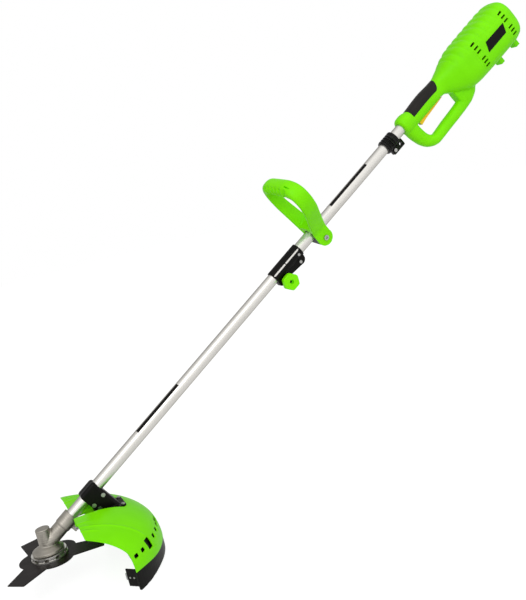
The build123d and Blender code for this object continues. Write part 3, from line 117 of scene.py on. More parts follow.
ground_steel = plain_finish(
    "ground_steel",
    tone=(0.52, 0.52, 0.53),
    shade=(0.38, 0.38, 0.39),
    roughness=0.3,
    metallic=1.0,
    patch=0.01,
)
dress(
    ground_steel,
    "spindle",
    "bevel_wheel",
    "bevel_pinion",
    "head_bearing_outers",
    "spindle_bearing_inners",
    "pinion_bearing_inner",
    "bearing_circlip",
    "lower_drive_rod",
    "upper_drive_rod",
    "drive_sleeve",
)

# Shaft bushes: rings of dark nylon that carry the drive rods, pressed into the tubes, three in
# the lower one and two in the upper one.
dark_nylon = plain_finish(
    "dark_nylon", tone=(0.02, 0.02, 0.021), shade=(0.012, 0.012, 0.013), roughness=0.5, shine=0.3
)
dress(dark_nylon, "lower_shaft_bushes", "upper_shaft_bushes")

# Gear case and its cap, die cast in aluminium and left grey, with rounded cast edges and fine
# rings left by turning round the barrel and the neck. A screw pinches the neck's ears.
joints = {joint["name"]: joint for joint in frame["record"]["behaviour"]["joints"]}
crossing = Vector(joints["cutter_spin"]["pos_m"])
along = Vector(joints["motor_spin"]["axis"]).normalized()
rightward = Vector((0, 1, 0))
lift = along.cross(rightward)
neck_start = 0.026


def shaft_at(station, right, up):
    """Point at a station along the shaft, to its right and above it, in metres."""
    return crossing + along * float(station) + rightward * float(right) + lift * float(up)


def new_piece(name, mesh):
    """Object in the scene that holds a mesh."""
    piece = bpy.data.objects.new(name, mesh)
    bpy.context.scene.collection.objects.link(piece)
    return piece


def settle(piece):
    """Turns a piece's modifiers into its own mesh."""
    bpy.context.view_layer.update()
    depsgraph = bpy.context.evaluated_depsgraph_get()
    mesh = bpy.data.meshes.new_from_object(piece.evaluated_get(depsgraph))
    piece.modifiers.clear()
    old = piece.data
    piece.data = mesh
    bpy.data.meshes.remove(old)
    return piece


def skin(piece, voxel, rounds):
    """Melts a piece's parts into one closed skin, its edges rounded as a mould rounds them."""
    melt = piece.modifiers.new("melt", "REMESH")
    melt.mode = "VOXEL"
    melt.voxel_size = voxel
    ease = piece.modifiers.new("ease", "SMOOTH")
    ease.factor = 0.5
    ease.iterations = rounds
    return settle(piece)


def softened(name, source, voxel, rounds):
    """Copy of a solid with its edges rounded, to stand for it."""
    piece = new_piece(name, frame["nodes"][source].data.copy())
    piece.data.materials.clear()
    return skin(piece, voxel, rounds)


def stand_for(piece, material, slot, body, *nodes):
    """Finishes a piece: shading, material, the body, the nodes it replaces. The slot argument is not used.
    """
    crease = radians(40)
    piece.data.shade_smooth()
    piece.data.set_sharp_from_angle(angle=crease)
    piece.data.materials.clear()
    piece.data.materials.append(material)
    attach(piece, body)
    if nodes:
        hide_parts(*nodes)
    return piece


def add_rings(material, pitch, depth):
    """Adds fine turned rings, round the upright barrel and round the shaft past the neck's start."""
    tree = material.node_tree
    spot = tree.nodes.new("ShaderNodeVectorMath")
    spot.operation = "SUBTRACT"
    spot.inputs[1].default_value = crossing
    station = tree.nodes.new("ShaderNodeVectorMath")
    station.operation = "DOT_PRODUCT"
    station.inputs[1].default_value = along
    level = tree.nodes.new("ShaderNodeSeparateXYZ")
    on_neck = tree.nodes.new("ShaderNodeMath")
    on_neck.operation = "GREATER_THAN"
    on_neck.inputs[1].default_value = neck_start
    run = tree.nodes.new("ShaderNodeMix")
    phase = tree.nodes.new("ShaderNodeMath")
    phase.operation = "MULTIPLY"
    phase.inputs[1].default_value = 2 * pi / pitch
    wave = tree.nodes.new("ShaderNodeMath")
    wave.operation = "SINE"
    rings = tree.nodes.new("ShaderNodeBump")
    rings.inputs["Distance"].default_value = depth
    tree.links.new(tree.nodes["Place"].outputs["Object"], spot.inputs[0])
    tree.links.new(spot.outputs["Vector"], station.inputs[0])
    tree.links.new(spot.outputs["Vector"], level.inputs["Vector"])
    tree.links.new(station.outputs["Value"], on_neck.inputs[0])
    tree.links.new(on_neck.outputs["Value"], run.inputs["Factor"])
    tree.links.new(level.outputs["Z"], run.inputs["A"])
    tree.links.new(station.outputs["Value"], run.inputs["B"])
    tree.links.new(run.outputs["Result"], phase.inputs[0])
    tree.links.new(phase.outputs["Value"], wave.inputs[0])
    tree.links.new(wave.outputs["Value"], rings.inputs["Height"])
    tree.links.new(tree.nodes["Relief"].outputs["Normal"], rings.inputs["Normal"])
    tree.links.new(rings.outputs["Normal"], tree.nodes["Principled BSDF"].inputs["Normal"])


cast_grey = plain_finish(
    "cast_grey",
    tone=(0.45, 0.42, 0.37),
    shade=(0.33, 0.31, 0.27),
    roughness=0.42,
    metallic=1.0,
    patch=0.02,
    grain=0.0012,
    depth=0.00005,
)
add_rings(cast_grey, pitch=0.0046, depth=0.00006)
gear_case_cast = softened("gear_case_cast", "gear_case", voxel=0.0008, rounds=4)
stand_for(gear_case_cast, cast_grey, "cast_grey", "lower", "gear_case")
gear_cap_cast = softened("gear_cap_cast", "gear_case_cap", voxel=0.0005, rounds=3)
stand_for(gear_cap_cast, cast_grey, "cast_grey", "lower", "gear_case_cap")
zinc_bright = plain_finish(
    "zinc_bright",
    tone=(0.46, 0.46, 0.44),
    shade=(0.34, 0.34, 0.32),
    roughness=0.3,
    metallic=1.0,
    patch=0.004,
)
dress(zinc_bright, "neck_screw")

# Blade adapter cup, washer and nut: cast and pressed metal, clamped on the spindle above and
# below the blade. The blade itself is stamped spring steel, blackened.
bright_cast = plain_finish(
    "bright_cast",
    tone=(0.90, 0.88, 0.84),
    shade=(0.72, 0.70, 0.66),
    roughness=0.34,
    metallic=1.0,
    patch=0.01,
    depth=0.00005,
)
dress(bright_cast, "blade_adapter")
dress(zinc_bright, "blade_washer", "blade_nut")
black_steel = plain_finish(
    "black_steel",
    tone=(0.010, 0.0065, 0.0055),
    shade=(0.006, 0.004, 0.0035),
    roughness=0.38,
    shine=0.12,
    patch=0.03,
    grain=0.0006,
    depth=0.00004,
)
dress(black_steel, "blade")

# Lower and upper tubes: drawn aluminium, 26 mm, with a satin skin that shows fine draw lines
# running along it. They meet inside the coupler, and each has a bare black strip along its top.
strip_radius = 0.01304
strip_bed_radius = 0.0129
strip_edges = radians(8), radians(46)


def drawn_finish(name, tone, shade):
    """Satin metal with fine lines drawn out along the shaft."""
    line_length = 0.4
    line_width = 0.002
    material = plain_finish(name, tone, shade, roughness=0.32, metallic=1.0, patch=0.08, depth=0.000002)
    tree = material.node_tree
    tree.nodes["Principled BSDF"].inputs["Specular Tint"].default_value = (0.35, 0.33, 0.30, 1)
    lay = tree.nodes.new("ShaderNodeMapping")
    lay.vector_type = "TEXTURE"
    lay.inputs["Rotation"].default_value = along.to_track_quat("X", "Z").to_euler()
    lay.inputs["Scale"].default_value = (line_length, line_width, line_width)
    lines = tree.nodes.new("ShaderNodeTexNoise")
    lines.inputs["Scale"].default_value = 1.0
    lines.inputs["Detail"].default_value = 3
    tree.links.new(tree.nodes["Place"].outputs["Object"], lay.inputs["Vector"])
    tree.links.new(lay.outputs["Vector"], lines.inputs["Vector"])
    tree.links.new(lines.outputs["Fac"], tree.nodes["Relief"].inputs["Height"])
    return material


def ringed(name, rings):
    """Closed skin over a row of rings, each with as many points as the next."""
    count = len(rings[0])
    points = [point for ring in rings for point in ring]
    faces = [tuple(reversed(range(count))), tuple(range(len(points) - count, len(points)))]
    for k in range(len(rings) - 1):
        for n in range(count):
            a = k * count + n
            b = k * count + (n + 1) % count
            faces.append((a, b, b + count, a + count))
    mesh = bpy.data.meshes.new(name)
    mesh.from_pydata(points, [], faces)
    return new_piece(name, mesh)


def tube_strip(name, start, end, body):
    """Thin strip stuck along the tube's upper left side."""
    angles = numpy.linspace(*strip_edges, 9)
    outline = [(a, strip_radius) for a in angles] + [(a, strip_bed_radius) for a in reversed(angles)]
    rings = [
        [shaft_at(station, -radius * sin(a), radius * cos(a)) for a, radius in outline]
        for station in (start, end)
    ]
    strip = ringed(name, rings)
    return stand_for(strip, black_moulded, "black_plastic", body)


drawn_aluminium = drawn_finish("drawn_aluminium", tone=(0.77, 0.75, 0.71), shade=(0.72, 0.70, 0.66))
dress(drawn_aluminium, "lower_tube", "upper_tube")
black_moulded = plain_finish(
    "black_moulded",
    tone=(0.0040, 0.0033, 0.0028),
    shade=(0.002, 0.0017, 0.0014),
    roughness=0.36,
    shine=0.12,
    patch=0.02,
    grain=0.0007,
    depth=0.00005,
)
tube_strip("lower_tube_strip", start=0.292, end=0.423, body="lower")
tube_strip("upper_tube_strip", start=0.950, end=1.080, body="upper")

# Guard bracket: two black glass-filled mouldings that clamp the tube, drawn together by bright
# cross screws, with a foot under the guard's channel.
bracket_left_moulded = softened("bracket_left_moulded", "bracket_left", voxel=0.0009, rounds=4)
stand_for(bracket_left_moulded, black_moulded, "black_plastic", "lower", "bracket_left")
bracket_right_moulded = softened("bracket_right_moulded", "bracket_right", voxel=0.0009, rounds=4)
stand_for(bracket_right_moulded, black_moulded, "black_plastic", "lower", "bracket_right")
dress(zinc_bright, "bracket_screws", "guard_screws")

# Guard hood: one lime green injection moulding, thin walled and slightly glossy, open in front,
# with a channel for the bracket, low fanned ridges and clip slots above its rim.
# Its ridges are given by their offset at the front, their splay and where they end.
hood_ridges = ((0.072, 0.12, 0.100), (0.091, 0.31, 0.190), (0.109, 0.33, 0.104))
ridge_start = 0.063
ridge_half_width = 0.0032
ridge_height = 0.0011
ridge_fade = 0.020
ridge_facings = 0.05, 0.25
rim_dip = 0.007
rim_dip_levels = 0.006, 0.040
back_turns = 0.50, 0.93
hollow_middle = 0.1194, 0.1844
hollow_radius = 0.014
hollow_turns = numpy.radians(numpy.linspace(-62, -10, 12))
slot_outline = ((0.20, 0.0290), (0.25, 0.0290), (0.25, 0.0390), (0.20, 0.0390))
slot_turns = radians(6.3), radians(14.5)
lime_moulded = plain_finish(
    "lime_moulded",
    tone=(0.215, 0.85, 0.0012),
    shade=(0.19, 0.79, 0.0008),
    roughness=0.36,
    shine=0.1,
    patch=0.06,
    grain=0.0006,
    depth=0.00003,
)


def step_between(value, low, high):
    """Smooth step from 0 at low to 1 at high."""
    s = numpy.clip((value - low) / (high - low), 0, 1)
    return s * s * (3 - 2 * s)


def worked(piece, tool, operation="DIFFERENCE", keep=False):
    """Cuts or trims a piece with another closed skin."""
    change = piece.modifiers.new("work", "BOOLEAN")
    change.solver = "MANIFOLD"
    change.operation = operation
    change.object = tool
    settle(piece)
    if not keep:
        mesh = tool.data
        bpy.data.objects.remove(tool)
        bpy.data.meshes.remove(mesh)
    return piece


def reshaped(piece, rule):
    """Moves a piece's points by a rule of their places and facings."""
    places = numpy.empty(3 * len(piece.data.vertices))
    piece.data.vertices.foreach_get("co", places)
    places = places.reshape(-1, 3)
    facings = numpy.array([vertex.normal for vertex in piece.data.vertices])
    places += rule(places, facings)
    piece.data.vertices.foreach_set("co", places.ravel())
    piece.data.update()
    return piece


def behind(places):
    """1 round the back of the guard, falling to 0 at its two ends."""
    return 1 - step_between(abs(numpy.arctan2(places[:, 1], places[:, 0])), *back_turns)


def ridged_and_dipped(places, facings):
    """Low ridges that fan out over the hood, and a rim that dips a little at the back."""
    raised = numpy.zeros(len(places))
    for root, splay, last in hood_ridges:
        off = abs(places[:, 1]) - root - splay * (places[:, 0] - ridge_start)
        fade = 1 - step_between(places[:, 0], last - ridge_fade, last)
        raised += numpy.exp(-((off / ridge_half_width) ** 2)) * fade
    upward = step_between(facings[:, 2], *ridge_facings)
    moves = facings * (ridge_height * raised * upward)[:, None]
    moves[:, 2] -= rim_dip * behind(places) * (1 - step_between(places[:, 2], *rim_dip_levels))
    return moves


hollow_bend = [
    (hollow_middle[0] + hollow_radius * cos(a), hollow_middle[1] + hollow_radius * sin(a))
    for a in hollow_turns
]
front_outline = [(0.040, 0.127), *hollow_bend, (0.139, 0.212), (0.040, 0.212)]


def front_cut(side, low, high, further=0.0):
    """What is cut away from one front corner between two heights, to leave a hollow edge."""
    walls = [
        [Vector((x + further, side * y, z)) for x, y in front_outline[::side]] for z in (low, high)
    ]
    return ringed("front_cut", walls)


guard_hood = softened("guard_hood", "guard", voxel=0.0011, rounds=4)
for side in (-1, 1):
    worked(guard_hood, front_cut(side, low=-0.05, high=0.15))
    slot_walls = [
        [Vector((reach * cos(turn), side * reach * sin(turn), z)) for reach, z in slot_outline[::-side]]
        for turn in slot_turns
    ]
    worked(guard_hood, ringed("rear_slot", slot_walls))
reshaped(guard_hood, ridged_and_dipped)
stand_for(guard_hood, lime_moulded, "green_plastic", "lower", "guard")

# Skirt and line knife: a black flexible moulding clipped inside the guard's rim, shallower round
# the back, with a small steel knife screwed to the wing at its left end.
skirt_rise = 0.006
skirt_rise_levels = -0.033, 0.0


def shallower(places, facings):
    """Lifts the skirt's lower edge round the back."""
    moves = numpy.zeros_like(places)
    moves[:, 2] = skirt_rise * behind(places) * (1 - step_between(places[:, 2], *skirt_rise_levels))
    return moves


skirt_moulded = softened("skirt_moulded", "guard_skirt", voxel=0.0011, rounds=3)
for side in (-1, 1):
    worked(skirt_moulded, front_cut(side, low=0.006, high=0.15, further=0.005))
reshaped(skirt_moulded, shallower)
stand_for(skirt_moulded, black_moulded, "black_plastic", "lower", "guard_skirt")
dress(ground_steel, "line_knife")

# Coupler: two black half shells around the joint of the tubes, with a long slot along the left
# side where the tube shows, a fixing screw and a rivet. A green clamp knob, moulded as a rounded
# hexagon, turns on a black bolt against a square nut.
knob_station = 0.757
knob_height = -0.029
knob_flats = (30, 90, 150)
knob_squareness = 14
knob_sections = ((-0.0146, 0.0174), (-0.0155, 0.0179), (-0.0258, 0.0179), (-0.0272, 0.0168))
socket_radius = 0.0050
bolt_room = 0.00305
rivet_radius = 0.0032


def rod(name, start, axis, radius, length):
    """Round bar from a point along an axis."""
    side = axis.orthogonal().normalized()
    other = axis.cross(side)
    angles = numpy.linspace(0, 2 * pi, 48, endpoint=False)
    rings = [
        [start + axis * (length * end) + (side * cos(a) + other * sin(a)) * radius for a in angles]
        for end in (0, 1)
    ]
    return ringed(name, rings)


def block(name, place, station, right, up):
    """Box between two stations, two places to the right and two heights."""
    corners = ((right[0], up[0]), (right[1], up[0]), (right[1], up[1]), (right[0], up[1]))
    rings = [[place(s, r, u) for r, u in corners] for s in station]
    return ringed(name, rings)


coupler_left_moulded = softened("coupler_left_moulded", "coupler_left", voxel=0.0006, rounds=3)
window = block(
    "window", shaft_at, station=(0.742, 0.822), right=(-0.03, -0.0122), up=(0.0030, 0.0080)
)
worked(coupler_left_moulded, window)
stand_for(coupler_left_moulded, black_moulded, "black_plastic", "upper", "coupler_left")
coupler_right_moulded = softened("coupler_right_moulded", "coupler_right", voxel=0.0006, rounds=3)
stand_for(coupler_right_moulded, black_moulded, "black_plastic", "upper", "coupler_right")
knob_angles = numpy.linspace(0, 2 * pi, 96, endpoint=False)
knob_flatness = sum(abs(numpy.cos(knob_angles - radians(flat))) ** knob_squareness for flat in knob_flats)
knob_reach = knob_flatness ** (-1 / knob_squareness)
knob_rings = [
    [
        shaft_at(knob_station + size * r * cos(a), right, knob_height + size * r * sin(a))
        for a, r in zip(knob_angles, knob_reach)
    ]
    for right, size in knob_sections
]
knob_moulded = skin(ringed("knob_moulded", knob_rings), voxel=0.0005, rounds=3)
socket_start = shaft_at(knob_station, -0.0204, knob_height)
worked(knob_moulded, rod("socket", socket_start, -rightward, socket_radius, length=0.02))
bore_start = shaft_at(knob_station, 0.0, knob_height)
worked(knob_moulded, rod("bolt_bore", bore_start, -rightward, bolt_room, length=0.04))
stand_for(knob_moulded, lime_moulded, "green_plastic", "knob", "clamp_knob")
dress(zinc_bright, "coupler_screw", "clamp_nut")
dress(black_steel, "clamp_bolt")
rivet_start = shaft_at(0.8150, -0.0166, -0.0040)
coupler_rivet = rod("coupler_rivet", rivet_start, rightward, rivet_radius, length=0.006)
stand_for(coupler_rivet, zinc_bright, "zinc_steel", "upper")

# Front loop handle: a lime green moulded hoop with a ridged grip, turned a little to the left on
# a rubber liner round the tube, closed below by a clamp block and a cross bolt with its nut.
# Its rows are right, up, half thickness, half width along the shaft and squareness.
arm_rows = [
    (0.0203, -0.0205, 0.0037, 0.0186, 4.4),
    (0.0203, 0.0000, 0.0037, 0.0186, 4.4),
    (0.0272, 0.0190, 0.0044, 0.0184, 4.2),
    (0.0450, 0.0530, 0.0049, 0.0174, 4.0),
    (0.0588, 0.0820, 0.0052, 0.0167, 3.6),
    (0.0628, 0.1050, 0.0060, 0.0165, 3.2),
    (0.0590, 0.1230, 0.0088, 0.0166, 2.8),
    (0.0460, 0.1345, 0.0132, 0.0174, 2.5),
    (0.0250, 0.1384, 0.0161, 0.0180, 2.4),
]
grip_middle_row = [(0.0, 0.1385, 0.0164, 0.0181, 2.4)]
loop_turn = radians(12)
loop_station = 0.8860
loop_half_width = 0.06
loop_rake = 0.002
loop_taper = 0.13
finger_pitch = 0.0145
finger_depth = 0.36
finger_side = 0.6, -0.9
finger_flanks = -0.1, 0.5
grip_ends = 0.040, 0.048
grip_levels = 0.120, 0.128
lobe_station = 0.887
lobe_height = -0.0205
lobe_radius = 0.0193
lobe_thickness = 0.0074
liner_room = 0.01505
matt_rubber = plain_finish(
    "matt_rubber",
    tone=(0.010, 0.0085, 0.006),
    shade=(0.005, 0.004, 0.003),
    roughness=0.5,
    shine=0.25,
    grain=0.0012,
    depth=0.00015,
)
dress(matt_rubber, "handle_liner")
dress(black_moulded, "handle_clamp_block")
dress(ground_steel, "handle_bolt", "handle_nut")


def eased(stations, values, at):
    """Smooth curve through values given at stations, without overshoot, read at other stations."""
    stations = numpy.array(stations, float)
    values = numpy.array(values, float)
    rates = numpy.diff(values, axis=0) / numpy.diff(stations)[:, None]
    both = rates[:-1] * rates[1:]
    middle = numpy.where(both > 0, 2 * both / (rates[:-1] + rates[1:] + 1e-12 * (both <= 0)), 0)
    slopes = numpy.vstack([rates[:1], middle, rates[-1:]])
    k = numpy.clip(numpy.searchsorted(stations, at) - 1, 0, len(stations) - 2)
    gap = (stations[k + 1] - stations[k])[:, None]
    s = (at - stations[k])[:, None] / gap
    return (
        (2 * s**3 - 3 * s**2 + 1) * values[k]
        + (s**3 - 2 * s**2 + s) * gap * slopes[k]
        + (3 * s**2 - 2 * s**3) * values[k + 1]
        + (s**3 - s**2) * gap * slopes[k + 1]
    )


def squared(angle, exponent):
    """Unit superellipse, from a circle at exponent 2 towards a square."""
    c = numpy.cos(angle)
    s = numpy.sin(angle)
    return numpy.sign(c) * abs(c) ** (2 / exponent), numpy.sign(s) * abs(s) ** (2 / exponent)


def along_path(rows, count):
    """Rows whose first two columns are places on a path, read smoothly at even spaces along it."""
    table = numpy.array(rows)
    runs = numpy.hypot(*numpy.diff(table[:, :2], axis=0).T)
    length = numpy.concatenate([[0], numpy.cumsum(runs)])
    line = eased(length, table, numpy.linspace(0, length[-1], count))
    heading = numpy.gradient(line[:, :2], axis=0)
    return line, heading / numpy.linalg.norm(heading, axis=1)[:, None]


def joined(name, *parts):
    """One piece made of the meshes of several."""
    together = bmesh.new()
    for part in parts:
        together.from_mesh(part.data)
        mesh = part.data
        bpy.data.objects.remove(part)
        bpy.data.meshes.remove(mesh)
    mesh = bpy.data.meshes.new(name)
    together.to_mesh(mesh)
    together.free()
    return new_piece(name, mesh)


def loop_at(station, right, up):
    """Point of the turned front handle at a station, to its right and above the tube."""
    turned_right = right * cos(loop_turn) - up * sin(loop_turn)
    turned_up = up * cos(loop_turn) + right * sin(loop_turn)
    return shaft_at(station, turned_right, turned_up)


loop_rows = arm_rows + grip_middle_row + [(-row[0], *row[1:]) for row in reversed(arm_rows)]
loop_line, loop_heading = along_path(loop_rows, 420)
around = numpy.linspace(0, 2 * pi, 72, endpoint=False)
loop_rings = []
for (right, up, thick, wide, exponent), ahead in zip(loop_line, loop_heading):
    inward, sideways = squared(around, exponent)
    ridge = 0.5 + 0.5 * numpy.cos(2 * pi * right / finger_pitch)
    grip_share = (1 - step_between(abs(right), *grip_ends)) * step_between(up, *grip_levels)
    facing = finger_side[0] * inward + finger_side[1] * sideways
    under = step_between(facing, *finger_flanks) * grip_share
    reach = 1 - finger_depth * under * (1 - ridge**0.5)
    lean = loop_station - loop_rake * right / loop_half_width
    wide = wide * (1 - loop_taper * right / loop_half_width)
    loop_rings.append(
        [
            loop_at(lean + wide * b * r, right - ahead[1] * thick * a * r, up + ahead[0] * thick * a * r)
            for a, b, r in zip(inward, sideways, reach)
        ]
    )
loop_hoop = ringed("loop_hoop", loop_rings)
crosswise = rightward * cos(loop_turn) + lift * sin(loop_turn)
lobes = [
    rod("lobe", loop_at(lobe_station, right, lobe_height), crosswise, lobe_radius, lobe_thickness)
    for right in (0.0166, -0.0240)
]
bridge = block("bridge", loop_at, station=(0.8690, 0.9050), right=(-0.024, 0.024), up=(0.008, 0.0220))
loop_moulded = skin(joined("loop_moulded", loop_hoop, bridge, *lobes), voxel=0.0008, rounds=4)
cheek_gap = block("cheek_gap", loop_at, station=(0.84, 0.94), right=(-0.0165, 0.0165), up=(-0.06, 0.0))
worked(loop_moulded, cheek_gap)
worked(loop_moulded, rod("clamp_bore", shaft_at(0.84, 0, 0), along, liner_room, length=0.1))
bolt_start = loop_at(lobe_station, -0.04, lobe_height)
worked(loop_moulded, rod("bolt_hole", bolt_start, crosswise, bolt_room, length=0.08))
core_slot = block(
    "core_slot", loop_at, station=(0.8800, 0.8835), right=(-0.052, -0.036), up=(0.1465, 0.17)
)
worked(loop_moulded, core_slot)
stand_for(loop_moulded, lime_moulded, "green_plastic", "loop", "loop_handle")

# Strap collar: a split black moulding with turned ribs, clamped on the upper tube by a screw,
# with an eye for the hook of a carrying strap.
ribbed_black = plain_finish(
    "ribbed_black",
    tone=(0.0040, 0.0033, 0.0028),
    shade=(0.002, 0.0017, 0.0014),
    roughness=0.24,
    shine=0.25,
    patch=0.01,
    grain=0.0007,
    depth=0.00003,
)
add_rings(ribbed_black, pitch=0.0060, depth=0.0016)
collar_moulded = softened("collar_moulded", "strap_collar", voxel=0.0006, rounds=2)
stand_for(collar_moulded, ribbed_black, "black_plastic", "upper", "strap_collar")
dress(zinc_bright, "collar_screw")

# Motor inside the housing: laminated steel stator and armature, varnished copper windings, a
# copper commutator with carbon brushes, a plastic fan and two ball bearings. The switch that
# feeds it is a black nylon box above the trigger.
dress(ground_steel, "stator", "armature", "motor_bearing_outers", "motor_bearing_inners")
varnished_copper = plain_finish(
    "varnished_copper",
    tone=(0.5, 0.2, 0.08),
    shade=(0.33, 0.12, 0.045),
    roughness=0.35,
    metallic=0.8,
    patch=0.006,
)
dress(varnished_copper, "field_coils", "armature_windings", "commutator")
carbon = plain_finish("carbon", tone=(0.03, 0.03, 0.03), shade=(0.015, 0.015, 0.015), roughness=0.7)
dress(carbon, "brushes")
dress(dark_nylon, "brush_holders", "cooling_fan", "power_switch")

# Rear housing: two lime green mouldings, split along the middle and screwed together. A ring
# holds the tube, the grip runs back from it over a guard bar, and the motor end swells out of
# the grip with a ribbed spine, a raised panel on each side, ventilation slots and cord lugs.
housing_wall = 0.003
first_rib = 1.3955
rib_pitch = 0.0215
rib_depth = 0.0024
rib_ends = (1.392, 1.400), (1.578, 1.590)
rib_levels = 0.006, 0.020
panel_ends = (1.4425, 1.4485), (1.586, 1.592)
panel_levels = (-0.057, -0.052), (0.009, 0.014)
panel_height = 0.0006
border_depth = 0.0040
body_middle = -0.015
tube_room = 0.0131
lug_stations = (1.516, 1.576)
lug_half_length = 0.006
vent_stations = (1.457, 1.563)
vent_heights = (0.017, 0.006, -0.005, -0.024, -0.034, -0.044)
vent_half_length = 0.0072
vent_half_height = 0.0023
screw_places = (
    (1.222, -0.036),
    (1.254, -0.079),
    (1.384, -0.079),
    (1.4285, -0.052),
    (1.5815, -0.045),
    (1.5815, 0.016),
)
screw_well_radius = 0.0038
gland_radius = 0.009
rim_angles = numpy.linspace(0, 2 * pi, 120, endpoint=False)
# Sections of the body, the ring and the root: station, half width, top, bottom, squareness.
body_sections = [
    (1.2380, 0.0178, 0.0186, -0.0230, 2.6),
    (1.2950, 0.0186, 0.0218, -0.0230, 2.5),
    (1.3380, 0.0182, 0.0194, -0.0232, 2.6),
    (1.3720, 0.0315, 0.0250, -0.0465, 2.5),
    (1.4060, 0.0458, 0.0340, -0.0650, 2.6),
    (1.4400, 0.0500, 0.0382, -0.0682, 2.9),
    (1.5000, 0.0504, 0.0384, -0.0684, 3.2),
    (1.5620, 0.0504, 0.0384, -0.0684, 3.2),
    (1.5860, 0.0472, 0.0362, -0.0648, 3.0),
    (1.5965, 0.0395, 0.0302, -0.0585, 2.8),
    (1.6010, 0.0300, 0.0225, -0.0500, 2.6),
]
ring_sections = [
    (1.2055, 0.0170, 0.0170, -0.0174, 2.1),
    (1.2078, 0.0204, 0.0204, -0.0208, 2.1),
    (1.2140, 0.0226, 0.0226, -0.0230, 2.2),
    (1.2220, 0.0229, 0.0229, -0.0236, 2.2),
    (1.2300, 0.0221, 0.0223, -0.0236, 2.2),
    (1.2360, 0.0196, 0.0203, -0.0230, 2.3),
    (1.2410, 0.0168, 0.0176, -0.0220, 2.4),
]
root_sections = [
    (1.3620, 0.0120, -0.0260, -0.0800, 3.0),
    (1.3665, 0.0150, -0.0230, -0.0880, 2.8),
    (1.3800, 0.0170, -0.0200, -0.0900, 2.6),
    (1.4080, 0.0180, -0.0200, -0.0815, 2.4),
    (1.4240, 0.0160, -0.0200, -0.0670, 2.3),
]
# Rows of the guard bar: station, up, half thickness, half width.
bar_rows = [
    (1.2245, 0.0040, 0.0185, 0.0185),
    (1.2245, -0.0220, 0.0182, 0.0170),
    (1.2285, -0.0500, 0.0166, 0.0150),
    (1.2390, -0.0715, 0.0146, 0.0142),
    (1.2590, -0.0822, 0.0130, 0.0140),
    (1.3000, -0.0800, 0.0140, 0.0140),
    (1.3380, -0.0785, 0.0145, 0.0140),
    (1.3720, -0.0755, 0.0155, 0.0145),
    (1.3960, -0.0660, 0.0180, 0.0165),
    (1.4180, -0.0480, 0.0200, 0.0180),
]
bar_squareness = 2.3


def lofted(name, sections, count, detail=None):
    """Body along the shaft through sections of station, half width, top, bottom and squareness."""
    table = numpy.array(sections)
    rings = []
    for row in eased(table[:, 0], table, numpy.linspace(table[0, 0], table[-1, 0], count)):
        station, half, top, bottom, exponent = row
        y, v = squared(rim_angles, exponent)
        right = half * y
        up = (top + bottom) / 2 + (top - bottom) / 2 * v
        if detail:
            right, up = detail(station, right, up)
        rings.append([shaft_at(station, a, b) for a, b in zip(right, up)])
    return ringed(name, rings)


def between(value, rise, fall):
    """1 from the end of a smooth rise to the start of a smooth fall, and 0 outside them."""
    return step_between(value, *rise) * (1 - step_between(value, *fall))


def moulded_detail(station, right, up):
    """Ribs across the spine and the raised panel on each side."""
    groove = (0.5 + 0.5 * cos(2 * pi * (station - first_rib) / rib_pitch)) ** 2
    sink = rib_depth * groove * between(station, *rib_ends) * step_between(up, *rib_levels)
    panel = between(up, *panel_levels) * between(station, *panel_ends)
    sink = sink + border_depth * panel * (1 - panel)
    reach = numpy.hypot(right, up - body_middle)
    share = (reach - sink) / reach
    raised_right = right * share + numpy.sign(right) * panel_height * panel
    return raised_right, body_middle + (up - body_middle) * share


body_skin = lofted("housing_body", body_sections, 300, moulded_detail)
ring_skin = lofted("housing_ring", ring_sections, 40)
bar_rings = []
for (station, up, thick, wide), ahead in zip(*along_path(bar_rows, 160)):
    across, sideways = squared(around, bar_squareness)
    stations = station + ahead[1] * thick * across
    heights = up - ahead[0] * thick * across
    bar_rings.append([shaft_at(s, wide * b, u) for s, b, u in zip(stations, sideways, heights)])
bar_skin = ringed("housing_bar", bar_rings)
root_skin = lofted("housing_root", root_sections, 60)
lugs = [
    block(
        "lug",
        shaft_at,
        station=(station - lug_half_length, station + lug_half_length),
        right=(-0.011, 0.011),
        up=(-0.0865, -0.060),
    )
    for station in lug_stations
]
housing_parts = joined("housing_skin", body_skin, ring_skin, bar_skin, root_skin, *lugs)
housing_skin = skin(housing_parts, voxel=0.0011, rounds=6)
room_sections = [
    (station, half - housing_wall, top - housing_wall, bottom + housing_wall, exponent)
    for station, half, top, bottom, exponent in body_sections[:-2]
]
room_sections.append((1.5965, 0.032, 0.022, -0.050, 2.6))
worked(housing_skin, lofted("room", room_sections, 120))
worked(housing_skin, rod("bore", shaft_at(1.19, 0, 0), along, tube_room, length=0.060))
trigger_slot = block(
    "slot", shaft_at, station=(1.2455, 1.338), right=(-0.0073, 0.0073), up=(-0.032, -0.016)
)
worked(housing_skin, trigger_slot)
for station in vent_stations:
    for up in vent_heights:
        vent = block(
            "vent",
            shaft_at,
            station=(station - vent_half_length, station + vent_half_length),
            right=(-0.08, 0.08),
            up=(up - vent_half_height, up + vent_half_height),
        )
        worked(housing_skin, vent)
for station, up in screw_places:
    well = rod("well", shaft_at(station, 0.008, up), rightward, screw_well_radius, length=0.06)
    worked(housing_skin, well)
worked(housing_skin, rod("gland_hole", shaft_at(1.58, 0, -0.045), along, gland_radius, length=0.03))

